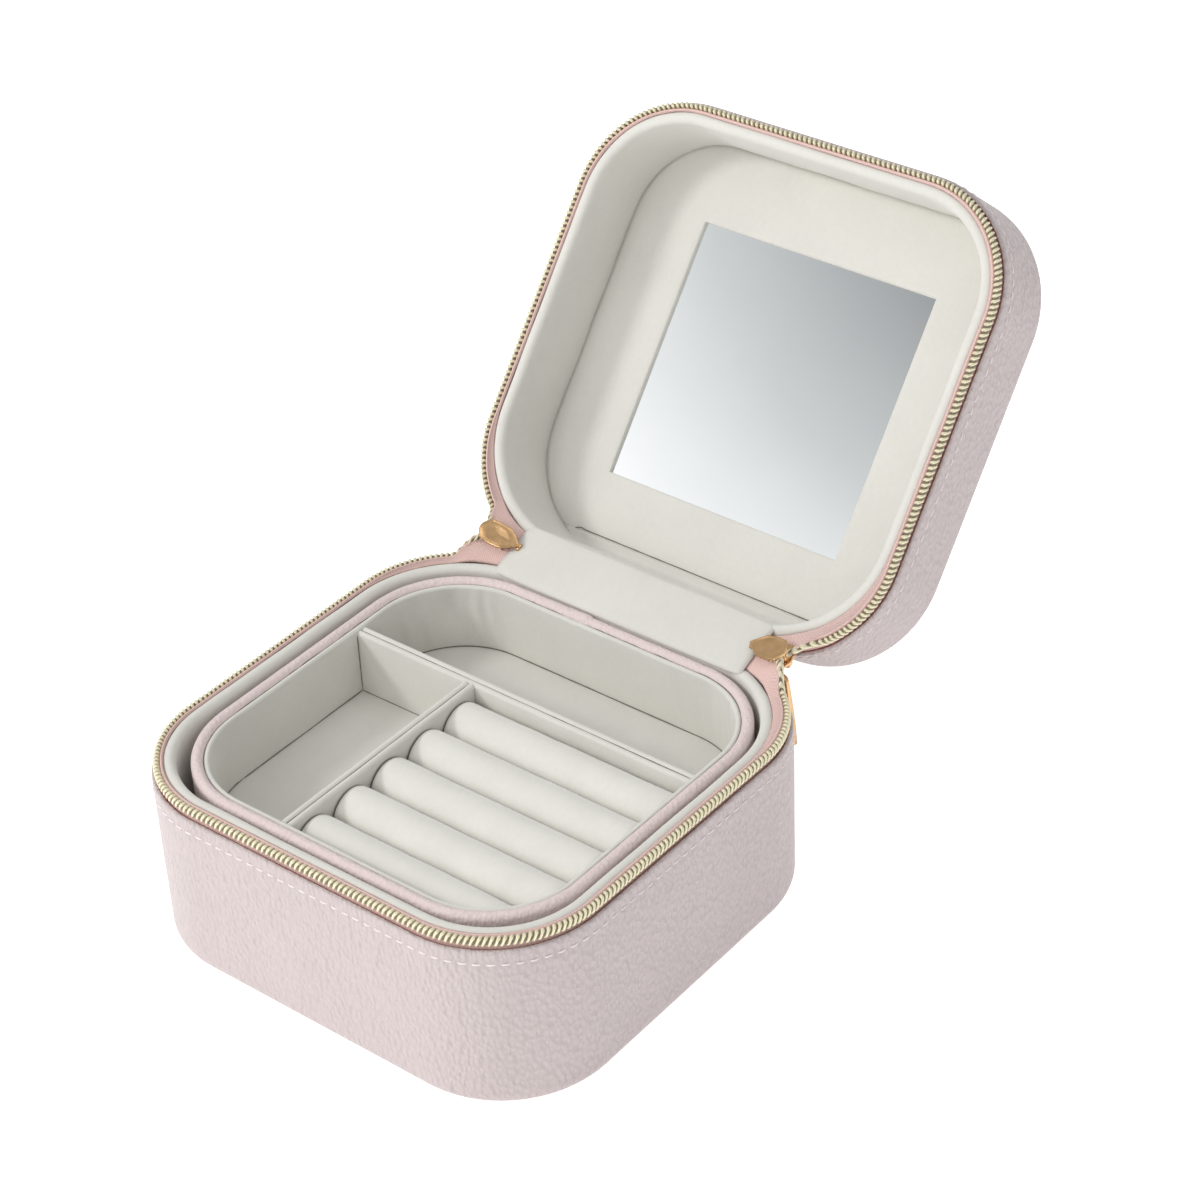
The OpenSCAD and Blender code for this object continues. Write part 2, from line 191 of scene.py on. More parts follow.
class Finish(Nodes):
    """A procedural material."""

    def __init__(self, name, roughness=0.5, metallic=0.0, sheen=0.0, coat=0.0, specular=0.5):
        self.mat = bpy.data.materials.new(name)
        self.mat.use_nodes = True
        super().__init__(self.mat.node_tree)
        self.shader = self.tree.nodes["Principled BSDF"]
        self.shader.inputs["Roughness"].default_value = roughness
        self.shader.inputs["Metallic"].default_value = metallic
        self.shader.inputs["Sheen Weight"].default_value = sheen
        self.shader.inputs["Sheen Roughness"].default_value = 0.45
        self.shader.inputs["Coat Weight"].default_value = coat
        self.shader.inputs["Specular IOR Level"].default_value = specular
        self.height = None

    def mapped(self, space, **values):
        mapping = self.node("ShaderNodeMapping", Vector=self.coords.outputs[space])
        for key, value in values.items():
            mapping.inputs[key].default_value = value
        return mapping.outputs["Vector"]

    def noise(self, size, space="Object", detail=3.0, stretch=(1, 1, 1)):
        """Noise whose lumps are about this size, in metres."""
        at = self.mapped(space, Scale=stretch)
        return self.node("ShaderNodeTexNoise", Vector=at, Scale=1 / size, Detail=detail).outputs["Fac"]

    def cells(self, size, stretch=(1, 1, 1)):
        """Cells about this size, as pebbled leather has, with wavy borders."""
        at = self.coords.outputs["Object"]
        wave = self.node("ShaderNodeTexNoise", Vector=at, Scale=1 / size, Detail=1.0)
        bent = self.sum("ShaderNodeVectorMath", "MULTIPLY_ADD", wave.outputs["Color"], (size * BORDER_WARP,) * 3, at)
        bent = self.sum("ShaderNodeVectorMath", "MULTIPLY", bent, stretch)
        return self.node("ShaderNodeTexVoronoi", Vector=bent, Scale=1 / size).outputs["Distance"]

    def ribs(self, size, turn):
        """Even ribs this far apart across the texture's plane, as a weave has."""
        made = self.node("ShaderNodeTexWave", Vector=self.mapped("UV", Rotation=(0, 0, turn)))
        made.inputs["Scale"].default_value = 2 * math.pi / (20 * size)
        return made.outputs["Fac"]

    def toned(self, factor, colour, first, last, ends=ENDS):
        """The colour, made lighter or darker by these factors from one end of the factor to the other."""
        return self.ramp(factor, [(ends[0], shade(colour, first)), (ends[1], shade(colour, last))])

    def blend(self, factor, a, b):
        made = self.node("ShaderNodeMix")
        made.data_type = "RGBA"
        self.feed(made.inputs["Factor"], factor)
        for socket, value in zip([s for s in made.inputs if s.type == "RGBA"], (a, b)):
            self.feed(socket, value)
        return next(s for s in made.outputs if s.type == "RGBA")

    def colour(self, value):
        self.feed(self.shader.inputs["Base Color"], value)
        return self

    def roughness(self, factor, low, high):
        spread = self.node("ShaderNodeMapRange", Value=factor)
        spread.inputs["To Min"].default_value = low
        spread.inputs["To Max"].default_value = high
        self.feed(self.shader.inputs["Roughness"], spread.outputs["Result"])
        return self

    def bump(self, height, depth, strength=1.0):
        """Adds a layer of surface relief this deep, in metres."""
        made = self.node("ShaderNodeBump", Height=height, Strength=strength, Distance=depth)
        if self.height:
            self.feed(made.inputs["Normal"], self.height)
        self.height = made.outputs["Normal"]
        self.feed(self.shader.inputs["Normal"], self.height)
        return self


def leather(name, colour, grain=1.15 * MM, depth=1.1):
    """Fine pebbled leather with faint stretch lines and patches of tone."""
    made = Finish(name, coat=0.03)
    pebbles = made.cells(grain, stretch=(1, 1, 0.6))
    fine = made.cells(grain * 0.5)
    patches = made.noise(14 * MM, detail=4)
    creases = made.noise(2.2 * MM, detail=4, stretch=(1, 1, 0.35))
    tone = made.toned(patches, colour, 0.965, 1.03)
    valleys = made.toned(pebbles, colour, 1.03, 0.90, (0.15, 0.85))
    made.colour(made.blend(0.45, tone, valleys)).roughness(creases, 0.42, 0.58)
    made.bump(pebbles, 0.45 * MM, depth).bump(fine, 0.06 * MM, 0.4).bump(creases, 0.40 * MM, 0.6 * depth)
    return made.mat


def suede(name, colour, sheen=0.35, patch=18 * MM):
    """Short-napped lining with brushed patches and a soft halo."""
    made = Finish(name, roughness=0.92, sheen=sheen, specular=0.15)
    nap = made.noise(0.35 * MM, detail=2)
    fibres = made.noise(1.1 * MM, detail=5, stretch=(1, 0.4, 1))
    tone = made.toned(made.noise(patch, detail=5), colour, 0.955, 1.03)
    speck = made.toned(fibres, colour, 0.96, 1.02, (0.35, 0.65))
    made.colour(made.blend(0.4, tone, speck))
    made.bump(nap, 0.05 * MM, 0.5).bump(fibres, 0.10 * MM, 0.45)
    return made.mat


def woven(name, colour, rib=0.55 * MM):
    """Flat zip tape: crossed ribs of thread."""
    made = Finish(name, roughness=0.8, sheen=0.2, specular=0.2)
    warp, weft = made.ribs(rib, math.radians(38)), made.ribs(rib * 0.8, math.radians(-52))
    cloth = made.sum("ShaderNodeMath", "MULTIPLY", warp, weft)
    uneven = made.noise(1.5 * MM, space="UV", detail=3)
    tone = made.toned(cloth, colour, 0.80, 1.08, (0.05, 0.7))
    worn = made.sum("ShaderNodeMath", "MULTIPLY", uneven, 0.35)
    made.colour(made.blend(worn, tone, shade(colour, 0.9)))
    made.bump(cloth, 0.12 * MM, 0.7)
    return made.mat


def metal(name, colour):
    """Cast and polished metal with faint brushing and small dings."""
    made = Finish(name, metallic=1.0)
    brushed = made.noise(0.5 * MM, detail=4, stretch=(1, 0.15, 1))
    dings = made.noise(2.5 * MM, detail=3)
    made.colour(made.toned(dings, colour, 0.82, 1.05)).roughness(brushed, 0.08, 0.22)
    made.bump(brushed, 0.02 * MM, 0.35).bump(dings, 0.08 * MM, 0.3)
    return made.mat


def fibrous(name, colour, size, detail, tones, depth, strength, stretch=(1, 1, 1), **more):
    """One layer of fibres that carries both the tone and the relief. Returns the finish and its fibres."""
    made = Finish(name, **more)
    fibres = made.noise(size, detail=detail, stretch=stretch)
    made.colour(made.toned(fibres, colour, *tones)).bump(fibres, depth, strength)
    return made, fibres


def plated(name, colour):
    """Moulded filament with a thin metallic coating."""
    made, drawn = fibrous(name, colour, 0.4 * MM, 3, (0.9, 1.05), 0.03 * MM, 0.4, (1, 1, 0.3), metallic=0.35, coat=0.2)
    return made.roughness(drawn, 0.28, 0.42).mat


def thread(name, colour):
    """Twisted sewing thread. The same fibres texture the dark cords that paint shade into creases and gaps."""
    return fibrous(name, colour, 0.25 * MM, 2, (0.9, 1.04), 0.06 * MM, 0.6, roughness=0.65, sheen=0.3)[0].mat


def cardboard(name, colour):
    """Grey-brown pressed board."""
    return fibrous(name, colour, 0.8 * MM, 6, (0.85, 1.08), 0.1 * MM, 0.5, (1, 0.3, 1), roughness=0.9)[0].mat


def silvered_glass(name):
    """Mirror with a trace of haze."""
    made = Finish(name, metallic=1.0, roughness=0.02)
    haze = made.noise(20 * MM, detail=4)
    made.colour(made.ramp(haze, [(0.3, (0.90, 0.92, 0.93)), (0.7, (0.93, 0.945, 0.95))]))
    made.roughness(haze, 0.015, 0.04)
    return made.mat


PINK = (0.53, 0.452, 0.447)
TRAY_PINK = (0.74, 0.615, 0.605)
IVORY = (0.685, 0.668, 0.618)
CREAM = (0.72, 0.70, 0.65)
SALMON = (0.86, 0.60, 0.55)
RAW_EDGE = (0.36, 0.14, 0.14)
# Painted shade: the colour of the dark cords laid along creases and seams of the lining.
SEAM_SHADE = (0.17, 0.145, 0.115)

case_leather = leather("case_leather", PINK)
lid_leather = leather("lid_leather", PINK)
tray_leather = leather("tray_leather", TRAY_PINK, grain=0.9 * MM, depth=0.45)
edge_paint = leather("edge_paint", RAW_EDGE, grain=0.6 * MM)
lining_suede = suede("lining_suede", IVORY)
# Painted shade: the tray's copy of the lining suede is made a little darker, for its dimmer compartments.
shaded_tray_suede = suede("shaded_tray_suede", shade(IVORY, 0.98), patch=12 * MM)
roll_velvet = suede("roll_velvet", CREAM, sheen=0.45, patch=9 * MM)
zip_cloth = woven("zip_cloth", SALMON)
coil_plastic = plated("coil_plastic", (0.84, 0.77, 0.55))
# Painted shade: the tube inside the coil is coloured as the shade in the gaps between its loops.
coil_gap_shade = thread("coil_gap_shade", (0.20, 0.17, 0.11))
brass = metal("brass", (0.72, 0.45, 0.23))
stitch_thread = thread("stitch_thread", (0.84, 0.76, 0.75))
board = cardboard("board", (0.45, 0.38, 0.30))
mirror_glass = silvered_glass("mirror_glass")
# Dark cords of painted shade for the lining's creases, seams and fold lines.
shade_thread = thread("shade_thread", SEAM_SHADE)
# Paler painted shade, for the soft crease where the lid's padded wall meets its panel.
soft_shade_thread = thread("soft_shade_thread", (0.60, 0.57, 0.51))

# ---- Outlines and sweeps ----


class Loop:
    """Rounded square, walked from the middle of the rear side over the left, front and right sides."""

    def __init__(self, half_w, half_d, front_r, rear_r=None):
        rear_r = rear_r or front_r
        self.runs = []
        corners = [(-1, 1, rear_r, 90), (-1, -1, front_r, 180), (1, -1, front_r, 270), (1, 1, rear_r, 0)]
        at = Vector((0, half_d, 0))
        for sx, sy, r, start in corners:
            centre = Vector((sx * (half_w - r), sy * (half_d - r), 0))
            a = math.radians(start)
            entry = centre + Vector((math.cos(a), math.sin(a), 0)) * r
            self.runs.append(("line", (entry - at).length, at, entry))
            self.runs.append(("arc", r * math.pi / 2, centre, (r, a)))
            at = centre + Vector((-math.sin(a), math.cos(a), 0)) * r
        self.runs.append(("line", at.x, at, Vector((0, half_d, 0))))
        self.length = sum(run[1] for run in self.runs)

    def at(self, s):
        """(point, outward normal) at this distance along the outline."""
        s %= self.length
        for kind, length, a, b in self.runs:
            if s <= length:
                break
            s -= length
        if kind == "line":
            way = (b - a).normalized()
            return a + way * s, Vector((way.y, -way.x, 0))
        r, start = b
        out = Vector((math.cos(start + s / r), math.sin(start + s / r), 0))
        return a + out * r, out

    def steps(self, size, start=0.0, stop=None):
        """Even distances along the outline, both ends included where it isn't the whole of it."""
        stop = self.length if stop is None else stop
        n = max(8, round((stop - start) / size))
        return [start + (stop - start) * i / n for i in range(n + 1)]


CASE = Loop(HALF_W, HALF_D, CORNER_R)
LINING = Loop(HALF_W - LINING_IN, HALF_D - LINING_IN, CORNER_R - LINING_IN, LINING_REAR_R)
TRAY = Loop(TRAY_HALF_W, TRAY_HALF_D, TRAY_R)


def linked(name, data):
    """New object with this data, in the scene."""
    made = bpy.data.objects.new(name, data)
    bpy.context.scene.collection.objects.link(made)
    return made


def weld(mesh):
    """Joins points that lie in one place, such as both ends of a closed section."""
    shape = bmesh.new()
    shape.from_mesh(mesh)
    bmesh.ops.remove_doubles(shape, verts=shape.verts, dist=0.001 * MM)
    bmesh.ops.recalc_face_normals(shape, faces=shape.faces)
    shape.to_mesh(mesh)
    shape.free()
    mesh.update()


class Shell:
    """Vertices, faces and texture places that are gathered before they become one piece."""

    def __init__(self):
        self.verts, self.faces, self.uvs, self.kinds = [], [], [], []

    def face(self, ring, places=None, kind=0):
        self.faces.append(ring)
        self.uvs.append(places or [(0, 0)] * len(ring))
        self.kinds.append(kind)

    def grid(self, rows, uv_rows=None, kind_of=None, wrap=False, flip=False):
        """Joins rows of points with quads. kind_of(column) picks the material of a column."""
        start, width = len(self.verts), len(rows[0])
        uv_rows = uv_rows or [[(i * MM, k * MM) for k in range(width)] for i in range(len(rows) + 1)]
        for row in rows:
            self.verts.extend(row)
        for i in range(len(rows) if wrap else len(rows) - 1):
            here, there = start + i * width, start + (i + 1) % len(rows) * width
            for k in range(width - 1):
                quad = [here + k, there + k, there + k + 1, here + k + 1]
                places = [uv_rows[i][k], uv_rows[i + 1][k], uv_rows[i + 1][k + 1], uv_rows[i][k + 1]]
                if flip:
                    quad.reverse()
                    places.reverse()
                self.face(quad, places, kind_of(k) if kind_of else 0)
        return start

    def closed_grid(self, rows, flip=False, axes=(0, 1)):
        """Grid whose last row meets the first, textured flat along two axes."""
        places = [[(p[axes[0]], p[axes[1]]) for p in row] for row in rows]
        return self.grid(rows, places + places[:1], wrap=True, flip=flip)

    def turned_over(self):
        self.faces = [face[::-1] for face in self.faces]
        self.uvs = [places[::-1] for places in self.uvs]

    def moved(self, matrix):
        self.verts = [matrix @ Vector(v) for v in self.verts]

    def make(self, name, mats, body=None, slot=None, replaces=(), matrix=None, fill=None, smooth=True):
        """Makes the mesh object, lets it ride on its body and hides the parts that it replaces. slot is not used, and
        fill changes nothing.
        """
        if matrix:
            self.moved(matrix)
        mesh = bpy.data.meshes.new(name)
        mesh.from_pydata([tuple(v) for v in self.verts], [], self.faces)
        for mat in mats if isinstance(mats, (list, tuple)) else [mats]:
            mesh.materials.append(mat)
        layer = mesh.uv_layers.new(name="UVMap")
        for loop, uv in zip(layer.data, (uv for places in self.uvs for uv in places)):
            loop.uv = uv
        mesh.polygons.foreach_set("material_index", self.kinds)
        mesh.polygons.foreach_set("use_smooth", [smooth] * len(self.faces))
        weld(mesh)
        made = linked(name, mesh)
        if body:
            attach(made, body)
        if replaces:
            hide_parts(*replaces)
        return made if fill else made


COARSE, MEDIUM, FINE = 1.6 * MM, 1.2 * MM, 0.8 * MM


def swept(outline, section, size=COARSE, start=0.0, stop=None, kind_of=None, flip=False):
    """Carries a section of (depth inward, height) along an outline. section(s) gives it at each place."""
    shell = Shell()
    rows, uv_rows = [], []
    for s in outline.steps(size, start, stop):
        at, out = outline.at(s)
        points = section(s)
        rows.append([at - out * depth + UP * height for depth, height in points])
        uv_rows.append([(s, run) for run in distances(points)])
    whole = stop is None
    shell.grid(rows[:-1] if whole else rows, uv_rows, kind_of, wrap=whole, flip=flip)
    return shell


def arc_points(centre, r, start, stop, n):
    """Points on an arc, angles in degrees, counted from +depth towards +height."""
    turns = [math.radians(start + (stop - start) * i / n) for i in range(n + 1)]
    return [(centre[0] + r * math.cos(a), centre[1] + r * math.sin(a)) for a in turns]


def profile(height, *places):
    """Section points in millimetres, counted from the outline and from this height."""
    return [(depth * MM, height + up * MM) for depth, up in places]


def line_points(a, b, n):
    return [(a[0] + (b[0] - a[0]) * i / n, a[1] + (b[1] - a[1]) * i / n) for i in range(n + 1)]


def shut(points):
    """Turns a base section upside down about the parting plane, for the lid."""
    return [(depth, 2 * PART_Z - height) for depth, height in points]


def wobble(s, height, amount, size):
    """Small even unevenness that hand work and padding have, the same each run."""
    return amount * noise.noise(Vector((s / size, height / size, 3.7)))


CAP_REACH = 0.8


def capped(shell, outline, depth, height, rings, flip=False, crown=0.0):
    """Closes an outline with a rounded plate: rings towards the middle, then one face. depth is that of its edge."""
    columns = []
    for s in outline.steps(COARSE)[:-1]:
        at, out = outline.at(s)
        column = []
        for k in range(rings + 1):
            share = 1 - k / rings * CAP_REACH
            p = (at - out * depth) * share
            lift = crown * (1 - share * share) + wobble(p.x + 1, p.y, crown * 0.3, 15 * MM)
            column.append(Vector((p.x, p.y, height + lift)))
        columns.append(column)
    start = shell.closed_grid(columns, flip)
    last = [start + i * (rings + 1) + rings for i in range(len(columns))]
    ring = last if flip else last[::-1]
    shell.face(ring, [(shell.verts[i].x, shell.verts[i].y) for i in ring])


# ---- Case leather ----

GROOVE_DOWN = 2.6 * MM
EDGE_RISE, RISE_FROM, RISE_LENGTH = 1.0 * MM, 19 * MM, 9 * MM
RAW_COLUMNS = 3


def away_from_sliders(s):
    """0 at the hinge and the sliders, 1 along the rest of the outline."""
    past = min(s % CASE.length, CASE.length - s % CASE.length) - CASE.runs[0][1]
    return smooth((past - RISE_FROM) / RISE_LENGTH)


def cover_points(top):
    """Leather side from its inner top edge, over the cut edge, down the outside and under the base."""
    groove = top - GROOVE_DOWN
    edge = profile(top, (1.2, -1.2), (1.2, -0.2), (1.0, 0), (0.75, 0.03), (0.3, 0), (0.04, -0.3), (0, -1))
    side = profile(groove, (0, 0.6), (0.12, 0), (0, -0.6))
    side += line_points((0, groove - 1.5 * MM), (0, EDGE_R + 1 * MM), 12)
    return edge + side + arc_points((EDGE_R, EDGE_R), EDGE_R, 180, 270, 8)


def cover(name, height, mat, body, slot, replaces, on_lid=False):
    """Leather shell: side wall with a rolled far edge and the flat face that closes it."""
    rows = cover_points(height)

    def section(s):
        rise = EDGE_RISE * away_from_sliders(s)
        points = [(d + wobble(s, h, 0.08 * MM, 25 * MM) * min(1.0, h / EDGE_R),
                   h + (rise if h > height - 1.5 * MM else 0)) for d, h in rows]
        return [(d, LID_TOP - h) for d, h in points] if on_lid else points

    shell = swept(CASE, section, kind_of=lambda k: 1 if k < RAW_COLUMNS else 0, flip=on_lid)
    capped(shell, CASE, EDGE_R, LID_TOP if on_lid else 0.0, 14, flip=not on_lid)
    shell.make(name, [mat, edge_paint], body, slot, replaces, OPEN_LID if on_lid else None)


cover("base_leather", BASE_TOP, case_leather, "base", "case_leather", ("base_cover", "base_bottom_cover"))
cover("lid_leather_shell", LID_H, lid_leather, "lid", "lid_leather", ("lid_cover", "lid_top_cover"), on_lid=True)


def stitches(name, height, body, slot, matrix=None):
    """Row of sewn stitches: short threads that dip into the leather at both ends."""
    shell = Shell()
    pitch, length, r, depth = 3.2 * MM, 2.3 * MM, 0.24 * MM, 0.02 * MM
    rings, sides = 6, 6
    for n in range(int(CASE.length / pitch)):
        rows = []
        for t in (i / rings for i in range(rings + 1)):
            at, out = CASE.at(n * pitch + length * t)
            dip = (2 * t - 1) ** 4
            middle = at - out * (depth + 0.28 * MM * dip) + UP * (height + 0.12 * MM * (t - 0.5))
            fat = r * math.sqrt(max(0.02, 1 - (2 * t - 1) ** 6))
            rows.append([middle + out * fat * math.cos(a) + UP * fat * math.sin(a) for a in circle(sides)])
        shell.grid(rows, [[(i * length / rings, k * r) for k in range(sides + 1)] for i in range(rings + 1)])
    shell.make(name, stitch_thread, body, slot, matrix=matrix)


stitches("base_stitches", BASE_TOP - GROOVE_DOWN, "base", "case_leather")
stitches("lid_stitches", LID_LOW + GROOVE_DOWN, "lid", "lid_leather", OPEN_LID)

# ---- Zip tapes and coils ----

ZIP_HALF_X = HALF_W - CORNER_R
TAPE_START = CASE.runs[0][1]
TAPE_STOP = CASE.length - TAPE_START
TAPE_LOW = BASE_TOP - 9.4 * MM
TAPE_TOP = PART_Z - 0.5 * MM
COIL_W, COIL_T = 2.6 * MM, 1.8 * MM
COIL_MIDDLE = PART_Z - 0.15 * MM - COIL_W / 2
COIL_PITCH = 1.44 * MM
CORD_R = 0.36 * MM
COIL_LEAD, COIL_SQUARE, HEAD_GROWTH = 0.16, 0.7, 0.32
HARDWARE_CLEAR = 6.5 * MM
TAPE_DEPTH, TAPE_LEAN = 1.25 * MM, 0.30
TUCK_LENGTH, TUCK_DEPTH, SHELF_DROP = 3.6 * MM, 4.2 * MM, 0.9 * MM
LIFT_FROM, LIFT_TO = math.radians(24), math.radians(40)


def lean(height):
    """Depth of the tape's outer face: above the leather it leans inward behind the coil."""
    rise = max(0.0, height - BASE_TOP)
    return TAPE_DEPTH + TAPE_LEAN * rise


def beyond(p, half_w, half_d, r):
    """How far a point lies outside a rounded square."""
    dx, dy = abs(p.x) - (half_w - r), abs(p.y) - (half_d - r)
    return math.hypot(max(dx, 0), max(dy, 0)) + min(max(dx, dy), 0) - r


def lining_depth(s):
    """Depth below the case outline at which the padded rim begins."""
    at, out = CASE.at(s)
    r = LINING_REAR_R if at.y > 0 else CORNER_R - LINING_IN
    depth = LINING_IN
    while depth < 8 * MM and beyond(at - out * depth, HALF_W - LINING_IN, HALF_D - LINING_IN, r) > 0:
        depth += 0.05 * MM
    return depth


def gathering(p):
    """1 at the sliders and behind them, where the two halves of the zip come together, and 0 along the open zip."""
    if p.y < HALF_D - CORNER_R:
        return 0.0
    turn = math.atan2(max(0.0, abs(p.x) - ZIP_HALF_X), p.y - (HALF_D - CORNER_R))
    return smooth((LIFT_TO - turn) / (LIFT_TO - LIFT_FROM))


def gathered(p, share=1.0):
    """A point of the base's half of the zip, given shut, drawn up towards the slider."""
    return about_hinge(OPEN_ANGLE / 2 * gathering(p) * share) @ p


def tape_points(s):
    """Closed section of the tape. A hem reaches the padded rim, and lies lower where the tape is drawn to a slider."""
    tuck = max(0.0, 1 - min(s - TAPE_START, TAPE_STOP - s) / TUCK_LENGTH)
    top = TAPE_TOP + wobble(s, 0, 0.1 * MM, 9 * MM) - TUCK_DEPTH * tuck ** 1.5
    near = gathering(CASE.at(s)[0])

    def outer_face(h):
        return lean(h) - (lean(h) - 1.1 * MM) * near + wobble(s, h, 0.05 * MM, 8 * MM)

    def inner_face(h):
        return outer_face(h) + (0.5 - 0.15 * near) * MM

    outer = [(outer_face(h), h) for h in (TAPE_LOW + (top - TAPE_LOW) * (i / 12) ** 0.8 for i in range(13))]
    shelf = top - 0.1 * MM - SHELF_DROP * near
    hem = max(inner_face(shelf) + 0.1 * MM, lining_depth(s) + 0.25 * MM)
    inner = [(inner_face(top), top), (inner_face(shelf), shelf + 0.05 * MM), (hem, shelf), (hem, shelf - 0.5 * MM)]
    low = shelf - 0.6 * MM
    inner += [(inner_face(h), h) for h in (low + (TAPE_LOW - low) * i / 10 for i in range(11))]
    return outer + inner + outer[:1]


# How far each point round the tape's section follows the slider: the hem and the inner face stay behind
TAPE_SHARES = [1.0] * 14 + [0.7, 0.2, 0.15] + [0.35] * 11 + [1.0]


def zip_share(i, z):
    """How far a point of the tape follows the slider: not below the leather's edge, fully at the top."""
    return TAPE_SHARES[i % len(TAPE_SHARES)] * clamp((z - BASE_TOP - 0.2 * MM) / (2.2 * MM))


BEND_INSET, BEND_WAY, BEND_LENGTH = 11 * MM, Vector((0, 0.387, 0.92)), 14.8 * MM


def zip_half(shell, name, mats, slot, on_lid):
    """Makes a part of one half of the zip, turned upside down and swung open when it is on the lid. Its ends, where
    they run to the sliders, come already drawn half-way up.
    """
    start = Vector((0, HINGE.y - BEND_INSET, PART_Z - 0.2 * MM))
    end = start + BEND_WAY * BEND_LENGTH
    if on_lid:
        shell.verts = [Vector((v.x, v.y, 2 * PART_Z - v.z)) for v in shell.verts]
        shell.turned_over()
        start, end = (OPEN_LID @ Vector((0, p.y, 2 * PART_Z - p.z)) for p in (start, end))
    side, other = ("lid", "base") if on_lid else ("base", "lid")
    made = shell.make(f"{side}_{name}", mats, slot=slot, replaces=(f"{side}_{slot}",),
                      matrix=OPEN_LID if on_lid else None)
    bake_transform(made)
    return made


def zip_tape(on_lid):
    """Folded tape with closed ends. Its ends are drawn up towards the sliders."""
    shell = swept(CASE, tape_points, 1.0 * MM, TAPE_START, TAPE_STOP)
    row = len(TAPE_SHARES)
    for start in (0, len(shell.verts) - row):
        ring = list(range(start, start + row - 1))
        shell.face(ring[::-1] if start else ring)
    shell.verts = [gathered(v, zip_share(i, v.z)) for i, v in enumerate(shell.verts)]
    made = zip_half(shell, "tape", zip_cloth, "zip_tape", on_lid)


def coil(on_lid):
    """Zip coil: one filament in flat loops round the tape's edge, fatter where it meets the other half."""
    shell = Shell()
    start, stop = TAPE_START + HARDWARE_CLEAR, TAPE_STOP - HARDWARE_CLEAR
    turns = int((stop - start) / COIL_PITCH)
    steps, sides = 14, 6
    centre_depth = lean(COIL_MIDDLE) - COIL_T / 2 + 0.2 * MM
    half_w, half_t = COIL_W / 2 - CORD_R, COIL_T / 2 - CORD_R

    def squared(v):
        return math.copysign(abs(v) ** COIL_SQUARE, v)

    def middle(u):
        up, across = math.sin(2 * math.pi * u), math.cos(2 * math.pi * u)
        at, out = CASE.at(start + (u + COIL_LEAD * up) * COIL_PITCH)
        height = COIL_MIDDLE + half_w * squared(up)
        return at - out * (centre_depth - half_t * squared(across)) + UP * height, out, up

    rows, uv_rows = [], []
    for u in (i / steps for i in range(turns * steps + 1)):
        here, out, up = middle(u)
        ahead = (middle(u + 0.02)[0] - middle(u - 0.02)[0]).normalized()
        side = ahead.cross(out).normalized()
        other = side.cross(ahead)
        fat = CORD_R * (1.0 + HEAD_GROWTH * max(0.0, up) ** 4)
        rows.append([here + (side * math.cos(t) + other * math.sin(t)) * fat for t in circle(sides)])
        uv_rows.append([(u * COIL_PITCH, k * CORD_R) for k in range(sides + 1)])
    shell.grid(rows, uv_rows)
    # Dark tube through the loops: painted shade in the gaps between them.
    rows = []
    for at, out in (CASE.at(start + (stop - start) * i / 260) for i in range(261)):
        rows.append([at - out * (centre_depth - 0.46 * MM * math.cos(t))
                     + UP * (COIL_MIDDLE + (half_w + 0.05 * MM) * math.sin(t)) for t in circle(10)])
    shell.grid(rows, kind_of=lambda k: 1)
    shell.verts = [gathered(v) for v in shell.verts]
    zip_half(shell, "coil", [coil_plastic, coil_gap_shade], "zip_coil", on_lid)


for on_lid in (False, True):
    zip_tape(on_lid)
for on_lid in (False, True):
    coil(on_lid)

# ---- Padded lining ----


def rim_section(low, top, thick, puff=0.25 * MM):
    """Upright pad with a round top: outside face, top, inside face."""
    r = thick / 2
    outside = line_points((0, low), (0, top - r), 10)
    over = arc_points((r, top - r), r, 180, 0, 12)[1:-1]
    inside = line_points((thick, top - r), (thick, low), 14)
    inside = [(d + puff * math.sin(math.pi * min(1, i / 14)), h) for i, (d, h) in enumerate(inside)]
    return outside + over + inside


def lining_wall(name, low, body, replaces, matrix=None):
    """Padded wall all round, a little uneven."""
    base = rim_section(low, RIM_TOP, LINING_T)

    def section(s):
        points = [(d + wobble(s, h, 0.16 * MM, 14 * MM), h + wobble(s, d, 0.10 * MM, 20 * MM)) for d, h in base]
        return shut(points) if matrix else points

    swept(LINING, section, flip=bool(matrix)).make(name, lining_suede, body, "lining", replaces, matrix, fill=0.8)


lining_wall("base_lining", FLOOR_Z - 1.2 * MM, "base", ("base_lining_wall",))
lining_wall("lid_lining", 2 * PART_Z - PANEL_Z - 0.4 * MM, "lid", ("lid_lining_wall",), OPEN_LID)


def floor_pad(name, outline, depth, height, mat, body, replaces):
    """Thin padded floor with rolled sides."""
    roll = [(depth, height - 1.2 * MM), (depth, height - 0.5 * MM), (depth + 0.15 * MM, height - 0.15 * MM),
            (depth + 0.5 * MM, height)]
    shell = swept(outline, lambda s: roll)
    capped(shell, outline, depth + 0.5 * MM, height, 12, crown=0.35 * MM)
    shell.make(name, mat, body, "lining", replaces, fill=0.9)


floor_pad("base_floor", LINING, LINING_T + 0.1 * MM, FLOOR_Z, lining_suede, "base", ("base_lining_floor",))
floor_pad("tray_floor", TRAY, TRAY_RIM_T + 0.9 * MM, TRAY_FLOOR, shaded_tray_suede, "tray", ("tray_lining_floor",))


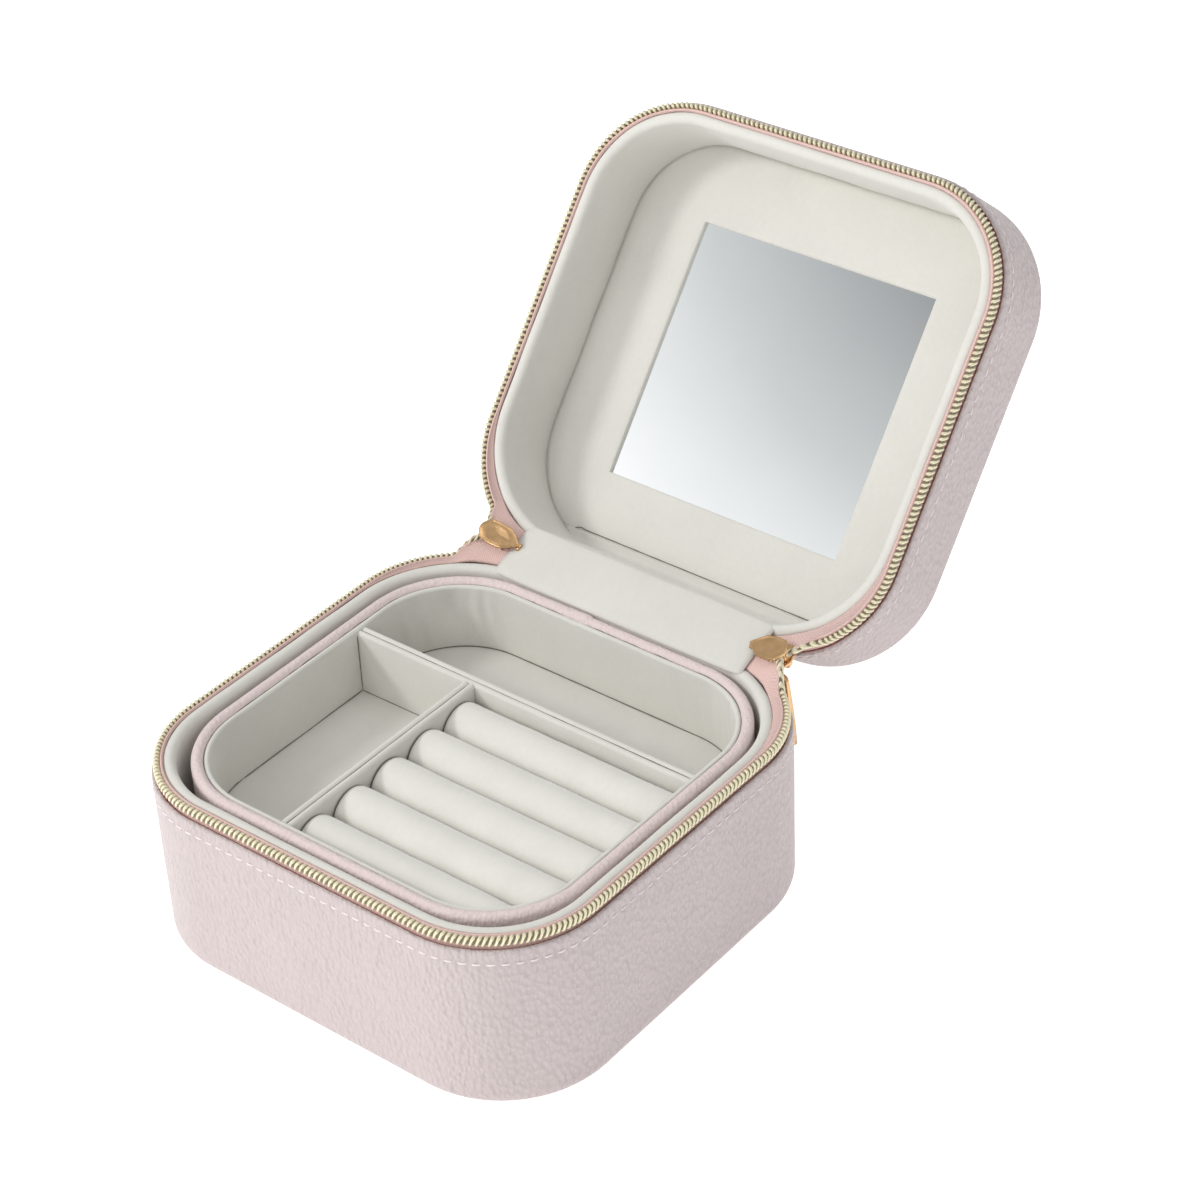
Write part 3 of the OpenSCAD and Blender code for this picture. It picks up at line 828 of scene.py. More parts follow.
def rest_ledge():
    """Lower ring of lining that the tray stands on."""
    inner = LINING_T + 2.6 * MM
    low, top = FLOOR_Z - 0.4 * MM, TRAY_LOW
    section = [(LINING_T, low), (LINING_T, top - 0.4 * MM), (LINING_T + 0.4 * MM, top)]
    section += [(inner - 0.8 * MM, top), (inner - 0.2 * MM, top - 0.25 * MM), (inner, top - 0.9 * MM)]
    section += line_points((inner, top - 2 * MM), (inner, low), 8)
    shell = swept(LINING, lambda s: [(d + wobble(s, h, 0.08 * MM, 16 * MM), h) for d, h in section])
    shell.make("tray_ledge", lining_suede, "base", "lining", ("tray_rest_frame",), fill=0.9)


rest_ledge()


def on_outline(outline, angle):
    """Point of a rounded square in this direction from its middle."""
    way = Vector((math.cos(angle), math.sin(angle), 0))
    return way * max((outline.at(s)[0] for s in outline.steps(0.4 * MM)), key=lambda p: p.normalized().dot(way)).length


PANEL_PROFILE = ((0, 0.5), (0.03, 0.1), (0.08, -0.15), (0.2, -0.3), (0.4, -0.35), (0.6, -0.3), (0.8, -0.2),
                 (0.92, -0.05))
WINDOW_ROLL = ((0.35, 0.0), (0.10, 0.15), (0.0, 0.45), (0.0, 1.2))


def lid_panel():
    """Padded panel of the lid, whose fabric rolls over the edge of the mirror's window."""
    wx, wy = WINDOW_HALF
    inset = LINING_IN + LINING_T
    seam = Loop(HALF_W - inset + 0.3 * MM, HALF_D - inset + 0.3 * MM, CORNER_R - inset, LINING_REAR_R - LINING_T)
    corner = math.atan2(wy, wx)
    corners = (-corner, corner, math.pi - corner, math.pi + corner, 2 * math.pi - corner)
    shell = Shell()
    columns = []
    for angle in (a + (b - a) * i / 30 for a, b in zip(corners, corners[1:]) for i in range(30)):
        way = Vector((math.cos(angle), math.sin(angle), 0))
        near = way * min(wx / max(1e-9, abs(way.x)), wy / max(1e-9, abs(way.y)))
        far = on_outline(seam, angle)
        column = []
        for share, low in PANEL_PROFILE:
            p = far.lerp(near, share)
            column.append(Vector((p.x, p.y, PANEL_Z + low * MM + wobble(p.x, p.y, 0.12 * MM, 11 * MM))))
        for inward, low in WINDOW_ROLL:
            p = near + near.normalized() * inward * MM
            column.append(Vector((p.x, p.y, PANEL_Z + low * MM)))
        columns.append(column)
    shell.closed_grid(columns)
    shell.make("lid_panel", lining_suede, "lid", "lining", ("lid_lining_panel",), OPEN_LID, fill=0.8)


lid_panel()


def mirror():
    """Silvered glass with ground edges, behind the window."""
    wx, wy = WINDOW_HALF[0] + 2 * MM, WINDOW_HALF[1] + 2 * MM
    rings = [(wx, wy, 0.9), (wx, wy, 0.2), (wx - 0.2 * MM, wy - 0.2 * MM, 0.0), (wx * 0.5, wy * 0.5, 0.0)]
    shell = Shell()
    shell.closed_grid([[Vector((sx * hx, sy * hy, MIRROR_Z + deep * MM)) for hx, hy, deep in rings]
                       for sx, sy in ((-1, -1), (1, -1), (1, 1), (-1, 1))], flip=True)
    shell.face([15, 11, 7, 3])
    shell.make("mirror", mirror_glass, "lid", "mirror", ("lid_mirror",), OPEN_LID, smooth=False)


mirror()

# ---- Hinge coverings: one flap of lining inside, one leather spine outside ----


def hinge_place(depth, height, lid=False):
    """A place on the rear wall, given shut; on the lid it is returned as it stands open."""
    p = Vector((0, HALF_D - depth, height))
    return OPEN_LID @ p if lid else p


def strip(name, line, half_widths, thick, mat, slot, replaces, bulge=0.0):
    """Sheet across the hinge: a line of points from the base to the lid, given width and thickness."""
    n, m = len(line), 48
    shell = Shell()
    runs = distances(line)
    halves = [half_widths(i / (n - 1)) for i in range(n)]
    rows, uv_rows = [], []
    for i, p in enumerate(line):
        ahead = heading(line, i)
        face = Vector((0, -ahead.z, ahead.y))
        free = math.sin(math.pi * i / (n - 1))
        up_row, low_row, places = [], [], []
        for across in (2 * k / m - 1 for k in range(m + 1)):
            x = halves[i] * across
            ripple = bulge * free * noise.noise(Vector((x / (16 * MM), runs[i] / (7 * MM), 1.3)))
            middle = Vector((x, p.y, p.z)) + face * ripple
            edge = 1 - 0.75 * abs(across) ** 24
            up_row.append(middle + face * thick / 2 * edge)
            low_row.append(middle - face * thick / 2 * edge)
            places.append((x, runs[i]))
        rows.append(up_row + low_row[::-1] + up_row[:1])
        uv_rows.append(places + places[::-1] + places[:1])
    shell.grid(rows, uv_rows)
    width = 2 * m + 3
    for row in (0, n - 1):
        ring = list(range(row * width, (row + 1) * width - 1))
        shell.face(ring if row else ring[::-1])
    made = shell.make(name, mat, slot=slot, replaces=replaces)
    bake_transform(made)


def smooth_line(points, per=8):
    """Catmull-Rom line through the points."""
    line = []
    for i in range(len(points) - 1):
        p0, p1 = points[max(0, i - 1)], points[i]
        p2, p3 = points[i + 1], points[min(len(points) - 1, i + 2)]
        for k in range(per):
            t = k / per
            line.append(0.5 * (2 * p1 + (p2 - p0) * t + (2 * p0 - 5 * p1 + 4 * p2 - p3) * t * t
                               + (3 * p1 - p0 - 3 * p2 + p3) * t ** 3))
    return line + [points[-1]]


FLAP_DEPTH = LINING_IN + LINING_T + 0.35 * MM
FLAP_HALF, FLAP_FLARE, FLARE_FROM = 38 * MM, 3.5 * MM, 0.62
SPINE_HALF, SPINE_REACH = ZIP_HALF_X + 1.5 * MM, 6 * MM


def hinge_flap():
    low = [hinge_place(FLAP_DEPTH, z * MM) for z in (29, 34, 39, 43, 46.5)]
    lip = [hinge_place(FLAP_DEPTH - 0.7 * MM, 48.6 * MM)]
    over = [hinge_place(FLAP_DEPTH - 1.0 * MM, 48.9 * MM, lid=True)]
    wall = [hinge_place(FLAP_DEPTH + 0.1 * MM, z * MM, lid=True) for z in (51, 55, 60, 65, 68.4)]
    panel = [hinge_place(FLAP_DEPTH + d * MM, 70.0 * MM, lid=True) for d in (1.2, 3.4)]
    line = smooth_line(low + lip + over + wall + panel)

    def half(t):
        return FLAP_HALF + FLAP_FLARE * max(0.0, (t - FLARE_FROM) / (1 - FLARE_FROM)) ** 0.5

    strip("hinge_flap", line, half, 0.8 * MM, lining_suede, "lining", ("hinge_lining_lower", "hinge_lining_upper"),
          bulge=0.2 * MM)


hinge_flap()


def hinge_spine():
    """Leather spine over the hinge, drawn as it stands with the lid open: each point of the flat strip is turned by its
    share of the lid's angle, so it folds over the hinge line.
    """
    depth = LEATHER_T + 0.1 * MM
    start, end = hinge_place(depth, BASE_TOP), hinge_place(depth, LID_LOW, lid=True)
    way = end - start

    def weight(p):
        return smooth((p - start).dot(way) / way.length_squared)

    line = []
    for i in range(41):
        height = BASE_TOP - SPINE_REACH + (LID_LOW - BASE_TOP + 2 * SPINE_REACH) * i / 40
        low, high = 0.0, 1.0
        for _ in range(40):
            w = (low + high) / 2
            p = about_hinge(w * OPEN_ANGLE) @ hinge_place(depth, height)
            low, high = (w, high) if weight(p) > w else (low, w)
        line.append(p)
    strip("hinge_spine", line, lambda t: SPINE_HALF, 0.6 * MM, case_leather, "case_leather",
          ("hinge_cover_lower", "hinge_cover_upper"))


hinge_spine()

# ---- Tray ----


def tray_wrap():
    """Leather round the tray: under its edge, up the side, over the rim and down inside."""
    r = TRAY_RIM_T / 2
    low = TRAY_LOW
    section = profile(low, (6, 0), (2, 0), (0.9, 0.12), (0.25, 0.5), (0, 1.3))
    section += line_points((0, low + 3 * MM), (0, TRAY_TOP - r - 0.4 * MM), 9)
    section += arc_points((r, TRAY_TOP - r), r, 180, 0, 12)
    section += [(TRAY_RIM_T, TRAY_TOP - r - 0.6 * MM), (TRAY_RIM_T + 0.1 * MM, TRAY_TOP - r - 2.2 * MM)]
    seam_at, seam_step, seam_fade = 6 * MM, 0.40 * MM, 9 * MM

    def rows(s):
        near = (s + TRAY.length / 2) % TRAY.length - TRAY.length / 2 - seam_at
        step = seam_step * clamp(near / (0.8 * MM)) * math.exp(-max(0.0, near) / seam_fade)
        points = []
        for d, h in section:
            pucker = wobble(s, h, 0.10 * MM, 3.5 * MM) if h > TRAY_TOP - 3 * MM else 0
            grow = step if h > TRAY_TOP - 3 * MM else step * 0.5
            points.append((d - grow * (1 if d < r else -1) * 0.6 + wobble(s, h, 0.07 * MM, 22 * MM),
                           h + (grow if d < TRAY_RIM_T else 0) * 0.8 + pucker * 0.5))
        return points

    swept(TRAY, rows, FINE).make("tray_wrap", tray_leather, "tray", "tray_leather", ("tray_cover",))


tray_wrap()


def tray_lining():
    """Lining inside the tray wall, with a thin turned lip and drawn folds at the corners."""
    outer, t = TRAY_RIM_T, TRAY_LINING_T
    top, low = TRAY_LINING_TOP + 0.45 * MM, TRAY_FLOOR - 0.3 * MM
    section = [(outer, top - 2 * MM), (outer, top - t / 2)]
    section += arc_points((outer + t / 2, top - t / 2), t / 2, 170, 10, 8)
    section += line_points((outer + t, top - t / 2), (outer + t, low), 16)
    fold_at, fold_reach, fold_depth = TRAY.runs[0][1] + 20 * MM, 16 * MM, 0.95 * MM

    def rows(s):
        to_corner = min(abs(s - fold_at), abs(TRAY.length - s - fold_at))
        drawn = math.exp(-(to_corner / fold_reach) ** 2)
        points = []
        for d, h in section:
            free = math.sin(math.pi * clamp((top - h) / (top - low))) ** 0.7
            fold = noise.noise(Vector((s / (3.2 * MM) + 0.25 * math.sin(h / (4 * MM)), h / (16 * MM), 0)))
            ripple = wobble(s, h, 0.16 * MM, 15 * MM)
            inside = 1 if d > outer + t * 0.9 else 0
            points.append((d + inside * (ripple + drawn * free * (fold_depth * fold + 0.1 * MM)), h))
        return points

    swept(TRAY, rows, FINE).make("tray_lining", shaded_tray_suede, "tray", "lining", ("tray_lining_wall",), fill=0.7)


tray_lining()


def underside():
    """Fabric under the tray, turned up at its edge."""
    edge = profile(TRAY_LOW, (1.4, 0.5), (1.8, 0.1), (2.4, -0.05))
    shell = swept(TRAY, lambda s: edge)
    capped(shell, TRAY, 2.4 * MM, TRAY_LOW - 0.05 * MM, 12)
    shell.make("tray_underside", shaded_tray_suede, "tray", "lining", ("tray_bottom_cover",), fill=1.0)


underside()


def divider(name, node, axis):
    """Folded divider along an axis: two layers of lining with the fold's line along the top."""
    lo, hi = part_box(node)
    half = (hi[1 - axis] - lo[1 - axis]) / 2
    middle = (hi[1 - axis] + lo[1 - axis]) / 2
    top, low = hi.z, lo.z
    layer = half * 0.5
    section = [(-half, low), (-half, low + 3 * MM), (-half, low + 8 * MM), (-half, top - 3 * MM)]
    section += arc_points((-layer, top - layer), half - layer, 180, 36, 8)
    section += [(0, top - layer * 0.62)]
    section += [(-d, h) for d, h in reversed(section[:-1])]
    runs = distances(section)
    rows, uv_rows = [], []
    for u in (lo[axis] + (hi[axis] - lo[axis]) * i / 90 for i in range(91)):
        row = []
        for c, h in section:
            waist = 1 - 0.05 * math.sin(math.pi * (h - low) / (top - low))
            side = middle + c * waist + wobble(u, h, 0.12 * MM, 10 * MM)
            height = h + wobble(u, c, 0.12 * MM, 14 * MM)
            row.append(Vector((side, u, height) if axis else (u, side, height)))
        rows.append(row)
        uv_rows.append([(u, run) for run in runs])
    shell = Shell()
    shell.grid(rows, uv_rows, flip=bool(axis))
    shell.make(name, shaded_tray_suede, "tray", "lining", (node,), fill=0.8)


divider("divider_long", "tray_divider_long", 0)
divider("divider_short", "tray_divider_short", 1)


def tray_inside(y):
    """x where the tray's lining meets this y on the right side."""
    r = TRAY_R - TRAY_INSET
    past = abs(y) - (TRAY_HALF_D - TRAY_R)
    reach = TRAY_HALF_W - TRAY_INSET
    return reach if past <= 0 else reach - r + math.sqrt(max(0.0, r * r - past * past))


FIRST_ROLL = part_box("ring_roll_1")
ROLL_PITCH = FIRST_ROLL[1].y - FIRST_ROLL[0].y
ROLL_TUCK, ROLL_BLUNT = 0.40, 0.93


def quarter_round(t):
    """Rise of a quarter circle, from 0 at its foot to 1."""
    return math.sqrt(max(0.0, 1 - (1 - t) ** 2))


def roll_end(near):
    """Share of a roll's full size towards its blunt left end."""
    return ROLL_BLUNT + (1 - ROLL_BLUNT) * quarter_round(near)


def ring_roll(number):
    """Foam roll in velvet: half round on top, gathered into a dome at its left end."""
    node = f"ring_roll_{number}"
    lo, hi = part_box(node)
    middle = FIRST_ROLL[1].y - (number - 1) * ROLL_PITCH - ROLL_PITCH / 2
    r = ROLL_PITCH / 2 - 0.12 * MM
    axis_z = hi.z - ROLL_PITCH / 2
    low = TRAY_FLOOR
    section = [(-r * 0.97, h) for h in (low, (low * 2 + axis_z) / 3, (low + axis_z * 2) / 3)]
    section += [(-r * math.cos(a), axis_z + r * math.sin(a)) for a in (math.pi * i / 24 for i in range(25))]
    section += [(-c, h) for c, h in reversed(section[:3])]
    dome, tuck = 2.0 * MM, 1.6 * MM
    columns = []
    for c, h in section:
        column = []
        left, right = lo.x + 0.1 * MM, tray_inside(middle + c) - 0.1 * MM
        for t in (i / 70 for i in range(71)):
            x = left + (right - left) * (smooth(t) * 0.5 + t * 0.5)
            near, far = clamp((x - left) / dome), clamp((right - x) / tuck)
            full = roll_end(near) * (0.72 + 0.28 * quarter_round(far))
            plump = 1 + 0.012 * noise.noise(Vector((x / (9 * MM), number * 3.1, c / (6 * MM))))
            crease = 0.10 * MM * noise.noise(Vector((x / (2.4 * MM), number * 7.7, h / (9 * MM)))) * (1 - near * 0.8)
            height = low + (h - low) * full * plump + (crease if h > axis_z else 0)
            column.append(Vector((x, middle + c * (1 - ROLL_TUCK * (1 - full)), height)))
        columns.append(column)
    rows = [list(row) for row in zip(*columns)]
    shell = Shell()
    shell.grid(rows, [[(p.x, k * MM) for k, p in enumerate(row)] for row in rows])
    shell.make(f"velvet_roll_{number}", roll_velvet, "tray", "roll_velvet", (node,), fill=0.9)


for number in range(1, 6):
    ring_roll(number)

# ---- Seams and creases of the lining, drawn as thin sunken threads of painted shade ----


def cord(shell, points, r, thin=0.2, closed=False):
    """Adds a thin round thread along the points. thin lets it fade in and out, so that a line of painted shade along a
    half hidden seam breaks up.
    """
    sides, n = 6, len(points)
    rows, places = [], []
    for i, (p, run) in enumerate(zip(points, distances(points))):
        before = points[i - 1] if i or closed else p
        after = points[(i + 1) % n] if i < n - 1 or closed else p
        ahead = (after - before).normalized()
        side = ahead.cross(UP if abs(ahead.z) < 0.9 else Vector((1, 0, 0))).normalized()
        other = side.cross(ahead)
        fade = 1 - thin * (0.5 + 0.5 * math.tanh(6 * noise.noise(Vector((run / (3.5 * MM), 0.3, 9.1)))))
        fat = r * fade * (1 if closed or 0 < i < n - 1 else 0.3)
        rows.append([p + (side * math.cos(t) + other * math.sin(t)) * fat for t in circle(sides)])
        places.append([(run, k * r) for k in range(sides + 1)])
    shell.grid(rows, places + places[:1], wrap=closed)


def round_shade_line(name, outline, depth, height, r, body, mat, thin, matrix=None):
    """Dark line of painted shade that runs all the way round an outline."""
    shell = Shell()
    points = []
    for s in outline.steps(MEDIUM)[:-1]:
        at, out = outline.at(s)
        points.append(at - out * depth + UP * (height + wobble(s, 0, 0.08 * MM, 12 * MM)))
    cord(shell, points, r, thin, closed=True)
    shell.make(name, mat, body, "lining", matrix=matrix)


# Painted shade: a faint cord along the crease where the lid's wall meets the panel.
round_shade_line("lid_panel_crease_shade", LINING, LINING_T + 0.18 * MM, PANEL_Z - 0.15 * MM, 0.17 * MM, "lid", soft_shade_thread, 0.4,
           OPEN_LID)
# Painted shadow: a broken dark line where the tray's lining meets the leather of its rim.
round_shade_line("tray_rim_shadow", TRAY, TRAY_RIM_T - 0.02 * MM, TRAY_LINING_TOP + 0.12 * MM, 0.2 * MM, "tray",
           shade_thread, 0.85)


def tray_crease_shade():
    """Dark threads of painted shade in the creases where walls, floor and dividers meet and along the fold lines of the
    dividers; the shade at the ends of the rolls is drawn separately.
    """
    shell = Shell()
    r = 0.15 * MM
    long_lo, long_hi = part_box("tray_divider_long")
    short_lo, short_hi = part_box("tray_divider_short")
    floor_z, top_z = TRAY_FLOOR + 0.15 * MM, TRAY_LINING_TOP - 1.2 * MM
    back, front = long_lo.y - 0.05 * MM, -(TRAY_HALF_D - TRAY_INSET)
    left, right = -(TRAY_HALF_W - TRAY_INSET) + 0.1 * MM, short_lo.x - 0.05 * MM
    bend = TRAY_R - TRAY_INSET

    def run(a, b):
        a, b = Vector(a), Vector(b)
        n = max(4, round((b - a).length / (1.5 * MM)))
        cord(shell, [a.lerp(b, i / n) for i in range(n + 1)], r)

    run((left, back, floor_z), (right, back, floor_z))
    run((right, front + 1 * MM, floor_z), (right, back, floor_z))
    for x in (left, right):
        run((x, back, floor_z), (x, back, top_z))
    run((left, front + bend, floor_z), (left, back, floor_z))
    cord(shell, [Vector((left + bend - bend * math.cos(a), front + bend - bend * math.sin(a), floor_z))
                 for a in (math.radians(6 * i) for i in range(16))], r)
    inner = Loop(TRAY_HALF_W - TRAY_INSET, TRAY_HALF_D - TRAY_INSET, bend)
    rear = (inner.at(s + inner.length / 2)[0] for s in inner.steps(MEDIUM))
    cord(shell, [at * 0.998 + UP * floor_z for at in rear if at.y > long_hi.y], r)
    edge = 0.1 * MM
    run((long_lo.x + edge, long_hi.y, floor_z), (long_hi.x - edge, long_hi.y, floor_z))
    for lo, hi, axis in ((long_lo, long_hi, 0), (short_lo, short_hi, 1)):
        middle, half = (lo + hi) / 2, (hi - lo) / 2
        fold = hi.z - (hi - lo)[1 - axis] / 4 * 0.62 + 0.02 * MM
        way = Vector((0, half.y, 0) if axis else (half.x, 0, 0))
        run((middle.x - way.x, middle.y - way.y, fold), (middle.x + way.x, middle.y + way.y, fold))
    shell.make("tray_crease_shade", shade_thread, "tray", "lining")


tray_crease_shade()


def roll_end_shade():
    """Half round line of painted shade at the left end of each roll, where the velvet is tucked against the divider."""
    shell = Shell()
    first_lo, first_hi = FIRST_ROLL
    r, axis_z = ROLL_PITCH / 2 - 0.05 * MM, first_hi.z - ROLL_PITCH / 2
    x, share = first_lo.x + 0.25 * MM, roll_end(0.12)
    for middle in (first_hi.y - (number + 0.5) * ROLL_PITCH for number in range(5)):
        points = []
        for a in (math.radians(9 * i) for i in range(21)):
            height = TRAY_FLOOR + (axis_z + r * math.sin(a) - TRAY_FLOOR) * share
            points.append(Vector((x, middle - r * (1 - ROLL_TUCK * (1 - share)) * math.cos(a), height)))
        cord(shell, points, 0.18 * MM)
    shell.make("roll_end_shade", shade_thread, "tray", "roll_velvet")


roll_end_shade()


def flap_edge_shade():
    """Dark cord of painted shade along the sewn end of the hinge flap on the lid's panel, with its turned corners."""
    near, far = FLAP_DEPTH + 1.0 * MM, FLAP_DEPTH + 3.9 * MM
    ends = [(-41.5, near), (-37.5, far)] + [(x, far) for x in range(-35, 38, 3)] + [(41.5, near)]
    shell = Shell()
    line = [Vector((x * MM, HALF_D - depth, PANEL_Z - 0.42 * MM)) for x, depth in ends]
    cord(shell, smooth_line(line, 4), 0.16 * MM)
    shell.make("flap_edge_shade", shade_thread, "lid", "lining", matrix=OPEN_LID)


flap_edge_shade()

# ---- Sliders and pulls ----

SLIDER_TURN, SLIDER_YAW = math.radians(17.5), math.radians(14)
STOP_TURN = math.radians(5.6)
SLIDER_LEN, OUTER_W, INNER_W = 11.6 * MM, 8 * MM, 6.6 * MM
INNER_FACE, OUTER_FACE, STRAP_Y = 1.2 * MM, 1.6 * MM, 4.8 * MM
PATH_R = CORNER_R - 1.7 * MM
HANG = math.radians(64.2)
PULL_LEAN = math.radians(6.5)


def on_corner(side, along=SLIDER_TURN, yaw=SLIDER_YAW):
    """From the slider's own axes (x along the coil, y outward) to its place, on the right or mirrored to the left."""
    place = Vector((HALF_W - CORNER_R + PATH_R * math.sin(along),
                    HALF_D - CORNER_R + PATH_R * math.cos(along), PART_Z))
    turn = HALF_OPEN @ Matrix.Translation(place) @ Matrix.Rotation(-yaw, 4, "Z")
    return (Matrix.Scale(-1, 4, (1, 0, 0)) @ turn) if side == "left" else turn


def hardware(shell, kind, side, body, more=Matrix(), **where):
    """Brings a brass piece to its side and makes it."""
    shell.moved(on_corner(side, **where) @ more)
    if side == "left":
        shell.turned_over()
    shell.make(f"zip_{kind}_{side}", brass, f"{body}_{side}", "hardware", (f"{body}_{side}",))


LEAF = ((-0.5, 0.0), (-0.49, 0.10), (-0.37, 0.42), (-0.20, 0.84), (-0.14, 0.93), (0.10, 1.0), (0.30, 0.92),
        (0.37, 0.84), (0.48, 0.34), (0.5, 0.0))


def leaf_outline(width):
    """Outline of a slider plate: full in the middle, blunt at the open end and pointed at the zip's end."""
    right = [(x * SLIDER_LEN, share * width / 2) for x, share in LEAF]
    closed = right + [(x, -z) for x, z in reversed(right[1:-1])]
    return [Vector((p.x, 0, p.y)) for p in smooth_line([Vector((x, z, 0)) for x, z in closed + closed[:1]], 5)[:-1]]


PLATE_RIM = ((0.3, -0.05), (0.08, 0.0), (0.0, 0.1), (0.0, 0.45), (0.12, 0.6), (0.45, 0.62), (0.62, 0.52), (0.8, 0.5))
PLATE_DOME = ((0.5, 0.56), (0.02, 0.6))


def plate(shell, width, face, out):
    """Slider plate with a raised rim and a faintly domed face. out is the side that it shows."""
    middle = Vector((0.4 * MM, 0, 0))
    rows = []
    for p in leaf_outline(width)[::-1]:
        way = p - middle
        shares = [(0, 0.0)] + [(1 - inward * MM / way.length, height) for inward, height in PLATE_RIM]
        rows.append([middle + way * share + Vector((0, face + out * height * MM, 0))
                     for share, height in shares + list(PLATE_DOME)])
    shell.closed_grid(rows, flip=out > 0, axes=(0, 2))


def band(shell, line, width, thick):
    """Bent strap: a line in the x-y plane, given a width along z and a rounded section."""
    corners = []
    r = thick * 0.35
    for sx, sz, start in ((1, 1, 0), (-1, 1, 90), (-1, -1, 180), (1, -1, 270)):
        corners += arc_points((sx * (thick / 2 - r), sz * (width / 2 - r)), r, start, start + 90, 3)
    corners.append(corners[0])
    rows = []
    for i, p in enumerate(line):
        ahead = heading(line, i)
        face = Vector((-ahead.y, ahead.x, 0))
        rows.append([p + face * u + UP * v for u, v in corners])
    shell.grid(rows, flip=True)


STRAP = ((-4.0, 1.9), (-3.95, 3.0), (-3.6, 4.3), (-2.6, 4.8), (-1, 4.8), (1, 4.8), (2.6, 4.8), (3.6, 4.3), (3.95, 3.0),
         (4.0, 1.9))


def slider(side):
    """Two plates, the post that joins them and the strap that carries the pull."""
    shell = Shell()
    plate(shell, OUTER_W, OUTER_FACE, 1)
    plate(shell, INNER_W, -INNER_FACE, -1)
    x = SLIDER_LEN / 2 - 2.2 * MM
    rows = []
    for i, (y, _) in enumerate(line_points((-INNER_FACE - 0.1 * MM, 0), (OUTER_FACE + 0.1 * MM, 0), 8)):
        r = 0.8 * MM + 0.35 * MM * abs(i / 4 - 1) ** 4
        rows.append([Vector((x + r * math.cos(t), y, r * math.sin(t))) for t in circle(20)])
    shell.grid(rows, flip=True)
    band(shell, smooth_line([Vector((a * MM, b * MM, 0)) for a, b in STRAP], 5), 1.5 * MM, 0.8 * MM)
    hardware(shell, "slider", side, "slider")


def tab_reach(way, start, end):
    """Distance from the hole's middle to the edge of a tab that widens from its top to its foot."""
    (top_z, top_r), (low_z, low_r) = start, end
    span = top_z - low_z
    tilt = math.asin((low_r - top_r) / span)
    reach = 0.2 * MM
    while reach < 30 * MM:
        x, z = way[0] * reach, way[1] * reach
        along = min(max((-z + abs(x) * math.tan(tilt)) / span, 0), 1)
        if math.hypot(x, z + span * along) > top_r + (low_r - top_r) * along:
            return reach
        reach += 0.04 * MM
    return reach


def pull(side):
    """Ring round the strap, a neck, and a tab with a hole and softened rims."""
    shell = Shell()
    ring_r, wire, hole_r = 1.78 * MM, 0.42 * MM, 1.1 * MM
    rows = []
    for a in circle(32)[:-1]:
        way = Vector((0, math.cos(a), math.sin(a)))
        rows.append([way * (ring_r + wire * math.cos(t)) + Vector((1.35 * wire * math.sin(t), 0, 0))
                     for t in circle(12)])
    shell.grid(rows, wrap=True)
    hole_z, foot_z = -5.2 * MM, -21.5 * MM
    rows = []
    for a in circle(96)[:-1]:
        way = (math.cos(a), math.sin(a))
        far = tab_reach(way, (hole_z, 2.05 * MM), (foot_z, 2.6 * MM))
        half = [(far, 0.35), (far - 0.22 * MM, 0.6), (hole_r + 0.2 * MM, 0.6), (hole_r, 0.4)]
        section = half + [(r, -h) for r, h in reversed(half)] + half[:1]
        rows.append([Vector((way[0] * r, h * MM, hole_z + way[1] * r)) for r, h in section])
    shell.grid(rows, wrap=True)
    cord(shell, [Vector((0, 0, z * MM)) for z in (-1.9, -2.4, -2.9, -3.4)], 0.6 * MM, thin=0)
    swing = Matrix.Translation((0, STRAP_Y, 0)) @ Matrix.Rotation(HANG, 4, "X") @ Matrix.Rotation(PULL_LEAN, 4, "Y")
    hardware(shell, "pull", side, "pull", swing)


CLIP = ((-0.4, 0.5), (-0.45, 0.0), (-0.4, -0.5), (0.0, -0.85), (0.4, -0.5), (0.45, 0.0), (0.4, 0.5), (0.0, 0.85),
        (-0.4, 0.5))
CLIP_FACE = ((-0.6, 0), (-0.6, 0.15), (-0.45, 0.28), (0, 0.32), (0.45, 0.28), (0.6, 0.15), (0.6, 0), (-0.6, 0))


def stop(side):
    """Metal clip folded over the joined end of the zip."""
    shell = Shell()
    line = smooth_line([Vector((0, y * MM, z * MM)) for y, z in CLIP], 4)[:-1]
    shell.grid([[p + Vector((x * MM, 0, 0)) + p.normalized() * h * MM for x, h in CLIP_FACE] for p in line], wrap=True)
    hardware(shell, "stop", side, "zip_end", along=STOP_TURN, yaw=STOP_TURN)


for side in ("left", "right"):
    slider(side)
    pull(side)
    stop(side)

# ---- Boards keep their CAD shapes ----

for name, node in frame["nodes"].items():
    if name.endswith("_board"):
        node.data.materials.clear()
        node.data.materials.append(board)

# ---- Camera, light and floor ----

VIEW_AZIMUTH, VIEW_ELEVATION, VIEW_ROLL = math.radians(39.97), math.radians(35.25), math.radians(-2.98)
VIEW_DISTANCE, VIEW_SIDE, VIEW_HEIGHT = 0.7184, 0.0312, 0.0835
LENS, SENSOR = 95.27, 36


def camera():
    back = Vector((math.sin(VIEW_AZIMUTH) * math.cos(VIEW_ELEVATION),
                   -math.cos(VIEW_AZIMUTH) * math.cos(VIEW_ELEVATION), math.sin(VIEW_ELEVATION)))
    across = UP.cross(back).normalized()
    above = back.cross(across)
    c, s = math.cos(VIEW_ROLL), math.sin(VIEW_ROLL)
    right, top = across * c + above * s, above * c - across * s
    data = bpy.data.cameras.new("view")
    data.lens, data.sensor_width = LENS, SENSOR
    data.clip_start, data.clip_end = 0.01, 20
    made = linked("view", data)
    turn = Matrix((right, top, back)).transposed().to_4x4()
    made.matrix_world = Matrix.Translation(UP * VIEW_HEIGHT + back * VIEW_DISTANCE + across * VIEW_SIDE) @ turn
    bpy.context.scene.camera = made


camera()


